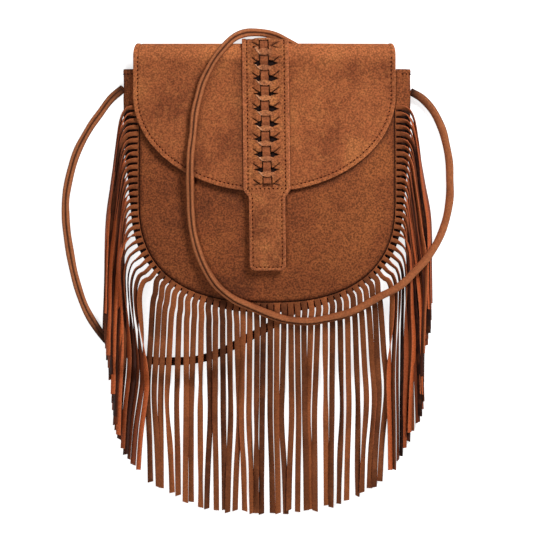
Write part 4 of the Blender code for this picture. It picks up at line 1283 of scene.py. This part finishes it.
# Which face of the section is the nap (0), a cut edge (1) or the smooth back (2).
SECTION_KINDS = [0, 1, 1, 1, 2, 1, 1, 1]


def section_at(middle, wide, thick, half_width):
    """The section's eight corners round one point, or round each point of a line."""
    return [middle + wide * (across * half_width + shift * CHAMFER)
            + thick * (high * STRAND_THICKNESS / 2 + sink * CHAMFER)
            for across, high, shift, sink in SECTION]


def strand_rings(root, away, rank, side, rng):
    """Rings of eight corners along one strand, header first, on the bag's right side."""
    plan, along = strand_plan(root, away, rank, side, rng)
    share = along / along[-1]
    on_top = rank < PILE_STRANDS and rank % 3 == 1
    lean = strand_lean(share, rank, rng, on_top)
    top = seam_height(root[1]) - STRAND_THICKNESS
    fall = np.cos(np.minimum(1, along / STRAND_FALL) * math.pi / 2) ** 2
    mirror = np.array([-1.0 if side == "left" else 1.0, 1.0])
    layer = 1.35 * MM * (rank % 2)
    if rank <= SIDE_STRANDS:
        layer = (LAYER if on_top else rank * 3 % 4 * 1.3 * MM) * smooth(share / 0.2)
    low = mix(GAP + strap_lift(plan * mirror) + layer, top, fall)
    tall = (STRAND_WIDTH * np.abs(np.sin(lean)) + STRAND_THICKNESS * np.abs(np.cos(lean))) / 2
    middle = np.concatenate([plan, (low + tall)[:, None]], 1)
    heading = np.gradient(plan, axis=0)
    heading[0] = away
    heading /= np.linalg.norm(heading, axis=1)[:, None]
    level = np.stack([-heading[:, 1], heading[:, 0], np.zeros(len(plan))], 1)
    wide = level * np.cos(lean)[:, None] + up(np.sin(lean))
    thick = up(np.cos(lean)) - level * np.sin(lean)[:, None]
    narrow = 0.76 if rank <= SIDE_STRANDS else 1.0
    half_width = STRAND_WIDTH / 2 * mix(narrow, 1.0, smooth(share / 0.09))[:, None]
    rings = np.array(section_at(middle, wide, thick, half_width)).transpose(1, 0, 2)
    # The tip is cut by hand, so it is a little slanted.
    slant = rng.uniform(-0.9, 0.9) * MM
    line = np.append(heading[-1], 0)
    for k, corner in enumerate(SECTION):
        rings[-1, k] += line * slant * corner[0]
    edge = np.append(root + away * GAP, seam_height(root[1]) - STRAND_THICKNESS / 2)
    edge_side = np.array([-away[1], away[0], 0.0])
    first = section_at(edge, edge_side, np.array([0.0, 0.0, 1.0]), STRAND_WIDTH / 2 * narrow)
    slit = np.array(first) + np.append(away, 0) * (0.7 if rank <= SIDE_STRANDS else 1.4) * MM
    return np.concatenate([[first], [slit], rings])


def build_fringe(name, strands, node):
    """One length of the band: its strands and the header that joins them, as one body."""
    verts, faces, tones, kinds = [], [], [], []
    previous = None
    for rings, tone in strands:
        first = len(verts)
        count = len(rings)
        verts += rings.reshape(-1, 3).tolist()
        tones += np.repeat(tone, SECTION_SIDES).tolist()
        grid = first + np.arange(count * SECTION_SIDES).reshape(count, SECTION_SIDES)
        after = np.roll(grid, -1, axis=1)
        for k in range(SECTION_SIDES):
            for r in range(count - 1):
                # Between the seam and the slit's end, the sides are joined to the neighbours.
                if r == 0 and k in (2, 6):
                    continue
                faces.append((grid[r, k], after[r, k], after[r + 1, k], grid[r + 1, k]))
                kinds.append(SECTION_KINDS[k])
        faces.append(tuple(grid[0][::-1]))
        faces.append(tuple(grid[-1]))
        kinds += [1, 1]
        # Corners 2 and 3 face the next strand, 7 and 6 the one before.
        if previous is None:
            faces.append((grid[0, 6], grid[0, 7], grid[1, 7], grid[1, 6]))
            kinds.append(1)
        else:
            a, b = previous, grid
            faces += [(a[0, 2], b[0, 7], b[1, 7], a[1, 2]), (a[0, 3], a[1, 3], b[1, 6], b[0, 6]),
                      (a[0, 2], a[0, 3], b[0, 6], b[0, 7]), (a[1, 2], b[1, 7], b[1, 6], a[1, 3])]
            kinds += [0, 2, 1, 1]
        previous = grid
    faces.append((previous[0, 2], previous[1, 2], previous[1, 3], previous[0, 3]))
    kinds.append(1)
    faces = [tuple(int(corner) for corner in face) for face in faces]
    piece = add_piece(name, verts, faces, STRAND_SUEDE, [node], {"tone": tones})
    for mark, kind in (("cut_edge", 1), ("back_side", 2)):
        add_mark(piece.data, mark, [float(k == kind) for k in kinds], "FACE")
    return piece


RIGHT_SEED = 11
LEFT_SEED = 5


def side_strands(side, seed):
    """All strands of one half of the fringe, from the bottom's middle to the top."""
    rng = random.Random(seed)
    flip = np.array([-1.0 if side == "left" else 1.0, 1.0, 1.0])
    order = [1, 0, 7, 6, 5, 4, 3, 2] if side == "left" else list(range(SECTION_SIDES))
    result = []
    for root, away, rank in strand_roots():
        rings = strand_rings(root, away, rank, side, rng) * flip
        tone = np.full(len(rings), 0.24 + 0.72 * rng.random() ** 0.9)
        if rank <= SIDE_STRANDS:
            own = SIDE_TONES[rank % len(SIDE_TONES)] + rng.uniform(-0.04, 0.08)
            tone = mix(ROOT_TONE, own, smooth((np.arange(len(rings)) - 3) / 7))
        result.append((root[0], rings[:, order], tone))
    return result


def build_fringes():
    right, left = side_strands("right", RIGHT_SEED), side_strands("left", LEFT_SEED)
    bottom = [s[1:] for s in reversed(left) if s[0] < BOTTOM_BAND_HALF_WIDTH]
    bottom += [s[1:] for s in right if s[0] < BOTTOM_BAND_HALF_WIDTH]
    outer = [[s[1:] for s in half if s[0] >= BOTTOM_BAND_HALF_WIDTH] for half in (right, left)]
    return [build_fringe("fringe_right_strands", outer[0], "fringe_right"),
            build_fringe("fringe_left_strands", outer[1][::-1], "fringe_left"),
            build_fringe("fringe_bottom_strands", bottom, "fringe_bottom")]


fringes = build_fringes()

# %% [markdown]
# ## The braided strip
# The strip is cut with a row of slits, and each rung is pulled through the next, so lens-shaped bands
# cross over a flat lace with dark openings on both sides. It is drawn flat first: an outline, holes
# and a relief in millimetres, u across and v along. Then the flat drawing is laid over the fold. A
# boolean cut would leave ragged edges here, so the holes are part of the triangulation.

# %% Strip plan
OPENING_PITCH = 14.05
OPENING_FIRST_V = 100.7
# How tall each opening stands, as a share of a full one, from two above the first to one past
# the last.
OPENING_TALL = [0, 0, 1.0, 1.0, 0.5, 1.05, 0.95, 1.0, 0.9, 0.7, 0]
# How far the lace strays from the middle above each opening.
LACE_SHIFT = [-1.5, -1.5, -1.4, -1.0, -0.7, -1.1, -0.3, -1.0, -0.2, 0.2, 0.5]
FIRST_OPENING = -2
FOLD_LENGTH = 43.0
STRIP_REAR_Y = 101.0
STRIP_WIDE_END = -15.3
TAB_START = -24.0
TAB_END = -89.9
TAB_HALF = 16.6
TAB_CORNER = 5.5
SLOT_HALF = 4.15
LACE_HALF = 3.7
LENS_LOW = -6.7                 # the lens band's lower edge, below its opening's middle
STRIP_LIFT_SPARE = 3.0 * MM
FOLD_V = FOLD_Y / MM
REAR_V = FOLD_V + FOLD_LENGTH + FOLD_V - STRIP_REAR_Y


def opening_v(k):
    return OPENING_FIRST_V - k * OPENING_PITCH


def strip_half(v):
    """Half the strip's width, in millimetres, without the tab's round corners."""
    wide = smooth((v - TAB_START) / (STRIP_WIDE_END - TAB_START))
    return mix(TAB_HALF, STRIP_HALF_WIDTH / MM, wide)


def strip_outline(spacing=0.8):
    """Closed outline of the flat strip, from the rear's left end round the tab."""
    v = np.concatenate([np.arange(REAR_V, -12, -1.2),
                        np.arange(-12, TAB_END + TAB_CORNER, -spacing)])
    side = np.stack([-strip_half(v), v], 1)
    turn = np.radians(np.linspace(0, 90, 13))
    corner = np.stack([-TAB_HALF + TAB_CORNER * (1 - np.cos(turn)),
                       TAB_END + TAB_CORNER * (1 - np.sin(turn))], 1)
    left = np.concatenate([side, corner])
    bottom = np.linspace(corner[-1], corner[-1] * [-1, 1], 30)[1:-1]
    return np.concatenate([left, bottom, left[::-1] * [-1, 1]])


def opening_outline(k):
    """Closed outline of one opening with the slot above it, up to the lens of the rung above."""
    tall = OPENING_TALL[k - FIRST_OPENING]
    c = LACE_SHIFT[k - FIRST_OPENING]
    slot_top = OPENING_PITCH + LENS_LOW
    right = [(c, slot_top), (c + 2.2, slot_top + 0.25), (c + SLOT_HALF, slot_top + 1.0)]
    if tall:
        right += [(c + SLOT_HALF + 0.1, 3.3 * tall), (6.3, 2.7 * tall), (8.0, 1.6 * tall), (11.9, 0.2),
                  (8.4, -1.2 * tall), (c + 6.3, -2.6 * tall)]
    right += [(c + SLOT_HALF + 0.6, -2.2), (c + 2.4, -1.25), (c, -0.95)]
    left = [(2 * c - u if abs(u - c) < 6.5 else -u, t) for u, t in right[1:-1]]
    ring = np.array(right + left[::-1])
    ring = closed_ring(ring)
    steps = [resample(ring[i:i + 2], max(1, round(math.dist(ring[i], ring[i + 1]) / 0.6)))[:-1]
             for i in range(len(ring) - 1)]
    return np.concatenate(steps) + [0, opening_v(k)]


OPENINGS = [opening_outline(k) for k in range(FIRST_OPENING + 1, FIRST_OPENING + len(OPENING_TALL))]
STRIP_EDGE = strip_outline()
print(len(OPENINGS), "openings and slots")


# %% Flat triangles
def inside(points, ring):
    """Which points lie inside a closed ring."""
    x, y = points[:, 0], points[:, 1]
    within = np.zeros(len(points), bool)
    for (x0, y0), (x1, y1) in zip(ring, np.roll(ring, -1, axis=0)):
        crosses = (y0 > y) != (y1 > y)
        within ^= crosses & (x < (x1 - x0) * (y - y0) / (y1 - y0 + 1e-12) + x0)
    return within


def strip_points():
    """Points inside the flat strip: fine over the braid and along the edges."""
    insets = np.array([0.15, 0.4, 0.8, 1.4, 2.1, 2.8, 3.3, 3.8, 4.3, 4.8, 5.4, 6.2, 7.2, 8.3])
    near_end = TAB_END + insets[::-1]
    rows = np.concatenate([np.arange(REAR_V - 0.5, 124, -1.4), np.arange(124, -12, -0.5),
                           np.arange(-12, near_end[0] - 0.6, -1.0), near_end])
    points = []
    for v in rows:
        half = strip_half(v)
        if v < TAB_END + TAB_CORNER:
            half -= TAB_CORNER - math.sqrt(max(0, TAB_CORNER ** 2 - (TAB_END + TAB_CORNER - v) ** 2))
        fine = 0.5 if -12 < v < 124 else 1.1
        reach = half - insets[-1]
        middle = np.linspace(-reach, reach, max(2, round(2 * reach / fine)))[1:-1]
        across = np.concatenate([insets - half, middle, half - insets[::-1]])
        points.append(np.stack([across, np.full(len(across), v)], 1))
    return np.concatenate(points)


def flat_triangles(outline, holes, points, clear=0.18):
    """Triangles that fill an outline but not its holes. Returns points, triangles and rim edges."""
    keep = inside(points, outline)
    for ring in [outline] + holes:
        near = (points[:, 1] < ring[:, 1].max() + 1) & (points[:, 1] > ring[:, 1].min() - 1)
        chosen = np.where(keep & near)[0]
        keep[chosen] &= distance_to_line(points[chosen], closed_ring(ring)) > clear
        if ring is not outline:
            keep[chosen] &= ~inside(points[chosen], ring)
    rings = [outline] + holes
    edges = []
    first = 0
    for ring in rings:
        edges += [(first + i, first + (i + 1) % len(ring)) for i in range(len(ring))]
        first += len(ring)
    every = np.concatenate(rings + [points[keep]])
    flat, _, faces, _, _, _ = delaunay_2d_cdt([Vector(p) for p in every.tolist()], edges, [], 0, 1e-6)
    flat = np.array([tuple(p) for p in flat])
    faces = np.array(faces)
    middle = flat[faces].mean(axis=1)
    chosen = inside(middle, outline)
    for ring in holes:
        chosen &= ~inside(middle, ring)
    faces = faces[chosen]
    sides = np.concatenate([faces[:, [0, 1]], faces[:, [1, 2]], faces[:, [2, 0]]])
    forward = {tuple(side) for side in sides.tolist()}
    rim = [side for side in forward if side[::-1] not in forward]
    return flat, faces, rim


flat_strip, strip_triangles, strip_rim = flat_triangles(STRIP_EDGE, OPENINGS, strip_points())
print(f"flat strip: {len(flat_strip)} points, {len(strip_triangles)} triangles")

# %% [markdown]
# The relief has three parts on each rung: two arms that swell out of the sides, a lens over the lace,
# whose left end is a raw cut edge, and sharp creases where one arm lies over the next. The creases get
# painted shade, and so do the slot beside the lace and a band beside each lens's cut edge.

# %% Strip relief
ARM_HEIGHT = 1.5
LENS_HEIGHT = 1.75


def rung_places(v):
    """Number of the opening above each place and the height over that opening's middle."""
    k = np.floor((OPENING_FIRST_V + 1.2 - v) / OPENING_PITCH)
    k = np.clip(k, FIRST_OPENING, FIRST_OPENING + len(OPENING_TALL) - 1).astype(int)
    return k, v - opening_v(k)


def braid_relief(u, v):
    """Extra height of the strip in millimetres, how much painted shade each place gets and how much
    paler it is made.
    """
    k, t = rung_places(v)
    shifts = np.array(LACE_SHIFT + LACE_SHIFT[-1:])
    below = shifts[k - FIRST_OPENING + 1]
    c = (shifts[k - FIRST_OPENING] + below) / 2
    a = np.abs(u)
    fan = 0.35 * np.sin(k * 2.4 + (u > 0))
    line = np.where(u < 0, -8.7 - 0.66 * (12.4 - a), -7.3 - 0.8 * (12.6 - a)) + fan
    arm = ARM_HEIGHT * smooth((13.6 - a) / 5.0) * smooth((t - line) / 0.7) * smooth((0.4 - t) / 1.8)
    # The next layer starts a little lower and swells towards its own opening.
    arm = np.where(t < line, 0.35 * smooth((13.0 - a) / 4.0) * smooth((line - t) / 2.5), arm)
    cut = ((u - c + 6.4) * 3.7 + (t + 2.6) * 3.3) / 4.96
    lens = smooth(cut / 0.45 + 0.5) * smooth((9.0 - (u - c)) / 5.0) * smooth((t + 8.4) / 2.4)
    lens = lens * (t < 1.0)
    height = mix(arm, LENS_HEIGHT + 0.35 * smooth((-t - 1) / 5), lens)
    last = k == FIRST_OPENING + len(OPENING_TALL) - 1
    braid = np.where(last, 0.0, 1.0) * smooth((128 - v) / 3)
    closed = np.array(OPENING_TALL)[k - FIRST_OPENING] == 0
    # A pulled shut opening still shows as a crease on both sides of the lace, with painted shade along
    # it.
    shut = np.exp(-((t - 0.1 - 0.24 * (11.5 - a)) / 0.7) ** 2) * smooth((12.6 - a) / 1.2) * (a > 3)
    near_line = np.exp(-((t - line) / 0.62) ** 2) * smooth((13.2 - a) / 1.0) * (a > 4.0)
    raw = np.exp(-((cut - 0.1) / 0.5) ** 2) * (t < -1.2) * (t > LENS_LOW) * (u < c) * (a > 3.0)
    lens_shade = np.exp(-((cut + 0.85) / 0.5) ** 2) * (t < -2) * (t > LENS_LOW - 1) * (u < c) * 0.7
    beside = smooth((SLOT_HALF + 1.2 - np.abs(u - below)) / 1.2) * (t < LENS_LOW) * 0.55
    # Painted shade in the creases, beside the lens's cut edge and in the slot beside the lace.
    painted_shade = np.maximum.reduce([near_line * braid, shut * closed, lens_shade * braid, beside * braid])
    # The raw cut edge is paler, and the lens a little paler too.
    lightened = np.maximum(raw, 0.12 * lens * smooth((0.5 - t) / 1.5)) * braid
    height = height * braid - 0.7 * near_line * braid - 0.6 * shut * closed
    return height, np.clip(painted_shade * (1 - raw), 0, 1) * 0.95, np.clip(lightened, 0, 1)


def on_strip(u, v, height):
    """Lay flat places over the bag, at heights above the middle of the strip's thickness."""
    stage = np.where(v <= FOLD_V, 0, np.where(v < FOLD_V + FOLD_LENGTH, 1, 2))
    angle = np.clip((v - FOLD_V) / FOLD_LENGTH, 0, 1) * math.pi
    behind = (2 * FOLD_V + FOLD_LENGTH - v) * MM
    value = np.where(stage == 0, v * MM, np.where(stage == 1, angle, behind))
    y = np.where(stage == 1, FOLD_Y + STRIP_FOLD_REACH * np.sin(angle), value)
    x = strip_axis(y) + u * MM

    def front(x, y):
        return flap_front(x, y) + FLAP_THICKNESS / 2 + GAP + STRIP_THICKNESS / 2

    point, normal = over_fold(x, stage, value, front, STRIP_THICKNESS / 2, STRIP_FOLD_REACH)
    return lifted(point + normal * height[:, None], STRIP_LIFT_SPARE), normal


# %% Braided strip
STRIP_STITCH_INSET = 4.4
TAB_STITCH_INSET = 3.2


def stitch_inset(v):
    return mix(TAB_STITCH_INSET, STRIP_STITCH_INSET, smooth((v - TAB_START) / 8))


def build_strip():
    u, v = flat_strip[:, 0], flat_strip[:, 1]
    inset = distance_to_line(flat_strip, closed_ring(STRIP_EDGE))
    rim = inset.copy()
    for ring in OPENINGS:
        near = np.where((v < ring[:, 1].max() + 2) & (v > ring[:, 1].min() - 2))[0]
        rim[near] = np.minimum(rim[near], distance_to_line(flat_strip[near], closed_ring(ring)))
    relief, painted_shade, lightened = braid_relief(u, v)
    scaled = inset * STRIP_STITCH_INSET / stitch_inset(v)
    roll = 0.28 * smooth((STRIP_STITCH_INSET - scaled) / 1.4)
    groove = 0.45 * np.exp(-((scaled - STRIP_STITCH_INSET) / 0.6) ** 2)
    dents = 0.16 * soft_noise(u, v, 9.0, 4.2) * smooth(inset / 4)
    thread_pull = 0.3 * np.exp(-((v + 14.9 - 0.02 * u) / 0.7) ** 2)
    half = rounded_half(rim, STRIP_THICKNESS / MM)
    top = half + relief + roll - groove + dents - thread_pull
    outer, _ = on_strip(u, v, top * MM)
    inner, _ = on_strip(u, v, (relief - half) * MM)
    count = len(flat_strip)
    faces = strip_triangles.tolist()
    faces += [[c + count, b + count, a + count] for a, b, c in strip_triangles.tolist()]
    faces += [[a, b, b + count, a + count] for a, b in strip_rim]
    marks = {"inset_mm": np.tile(scaled, 2), "painted_shade": np.tile(painted_shade, 2),
             "lighten": np.tile(lightened, 2)}
    return add_piece("braided_strip_suede", np.concatenate([outer, inner]), faces, STRIP_SUEDE,
                     ["braided_strip"], marks)


braided_strip = build_strip()

# %% [markdown]
# The lace is one flat thong that dives under each lens and comes up behind it, so its middle follows
# two heights by turns. Its edges are a little ragged, as hand-cut suede is.

# %% Lace
LACE_THICKNESS = 1.1
LACE_COLUMNS = 17
LACE_LOW = 0.25                 # height of its middle under a lens, above the strip's middle
LACE_HIGH = 1.1


def build_lace():
    """One flat lace that dives under each lens and comes up behind it."""
    v = np.arange(125.0, opening_v(FIRST_OPENING + len(OPENING_TALL) - 1) + 1.5, -0.45)
    k, t = rung_places(v)
    below = -t
    amount = np.maximum(smooth((below - 5.6) / 2.1) * smooth((14.75 - below) / 3.25),
                        smooth((0.7 - below) / 3.25))
    links = opening_v(np.arange(FIRST_OPENING, FIRST_OPENING + len(LACE_SHIFT))) + 3.7
    centre = np.interp(-v, -links, LACE_SHIFT)
    ragged = 1 + 0.035 * np.sin(v * 1.3) + 0.02 * np.sin(v * 3.1 + 1)
    share = np.sin(np.linspace(-math.pi / 2, math.pi / 2, LACE_COLUMNS))
    u = centre[:, None] + share * LACE_HALF * ragged[:, None]
    rows = np.repeat(v[:, None], LACE_COLUMNS, axis=1)
    edge = LACE_HALF * (1 - np.abs(share)) + 0 * rows
    half = rounded_half(edge, LACE_THICKNESS)
    middle = mix(LACE_LOW, LACE_HIGH, amount)[:, None] + 0.05 * soft_noise(u, rows, 3.0, 9.0)
    outer, _ = on_strip(u.ravel(), rows.ravel(), (middle + half).ravel() * MM)
    inner, _ = on_strip(u.ravel(), rows.ravel(), (middle - half).ravel() * MM)
    # Painted shade where the lace comes out from under a lens, under each lens and along its edges.
    shade = 0.85 * smooth((8.2 - below) / 1.8) * (below > 2) + 0.2 * (1 - amount)
    shade = np.repeat(np.clip(shade, 0, 1)[:, None], LACE_COLUMNS, axis=1)
    shade = np.maximum(shade, 0.5 * np.exp(-(edge / 0.35) ** 2))
    shape = rows.shape + (3,)
    return add_sheet("lace_suede", outer.reshape(shape), inner.reshape(shape), LACE_SUEDE,
                     ["braid_lace"], {"painted_shade": shade, "inset_mm": 9 + 0 * rows})


lace = build_lace()

# %% Strip stitching
def strip_stitch_paths():
    """One line down one side, round the tab and up the other, and one across the flap's edge."""
    line = strip_outline(0.5)
    line = line[line[:, 1] < FOLD_V + 19]
    line = line - outward(line) * stitch_inset(line[:, 1])[:, None]
    across = np.linspace(-19.6, 19.6, 60)
    cross = np.stack([across, -14.9 + 0.02 * across], 1)
    return [on_strip(flat[:, 0], flat[:, 1], np.full(len(flat), 0.45 * MM)) for flat in (line, cross)]


strip_stitches = add_stitches("strip_stitching", strip_stitch_paths())

# %% [markdown]
# Under the tab a thin lining hides the snap. The snap's four turned pieces are right in the frame as
# they are, so they only get their metal.

# %% Tab lining and snap
# Height of the closed snap over the front panel: gap, socket, gap, stud, gap.
SNAP_STACK = (0.5 + 2.0 + 0.3 + 1.0 + 0.3) * MM
LINING_THICKNESS = 0.8 * MM
LINING_INSET = 0.6


def build_tab_lining():
    half, end = TAB_HALF - LINING_INSET, TAB_END + LINING_INSET
    v = np.concatenate([np.linspace(-22.6, end + 6, 50)[:-1], np.linspace(end + 6, end, 14)])
    short = np.clip(end + TAB_CORNER - v, 0, TAB_CORNER)
    width = half - TAB_CORNER + np.sqrt(TAB_CORNER ** 2 - short ** 2)
    share = np.sin(np.linspace(-math.pi / 2, math.pi / 2, 25))
    y = np.repeat(v[:, None], 25, axis=1) * MM
    x = strip_axis(y) + width[:, None] * share * MM
    depth = np.minimum(width[:, None] * (1 - np.abs(share)), (v - end)[:, None]) * MM
    low = np.stack([x, y, front_height(x, y) + SNAP_STACK + LINING_THICKNESS / 2], -1)
    half_thick = up(rounded_half(depth, LINING_THICKNESS))
    return add_sheet("tab_lining_suede", low + half_thick, low - half_thick, PANEL_SUEDE,
                     ["tab_lining"], {"inset_mm": depth / MM})


tab_lining = build_tab_lining()
for snap_piece in ("snap_socket", "snap_socket_washer", "snap_stud", "snap_stud_washer"):
    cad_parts[snap_piece].material_slots[0].material = BRASS
print("the snap is aged brass")
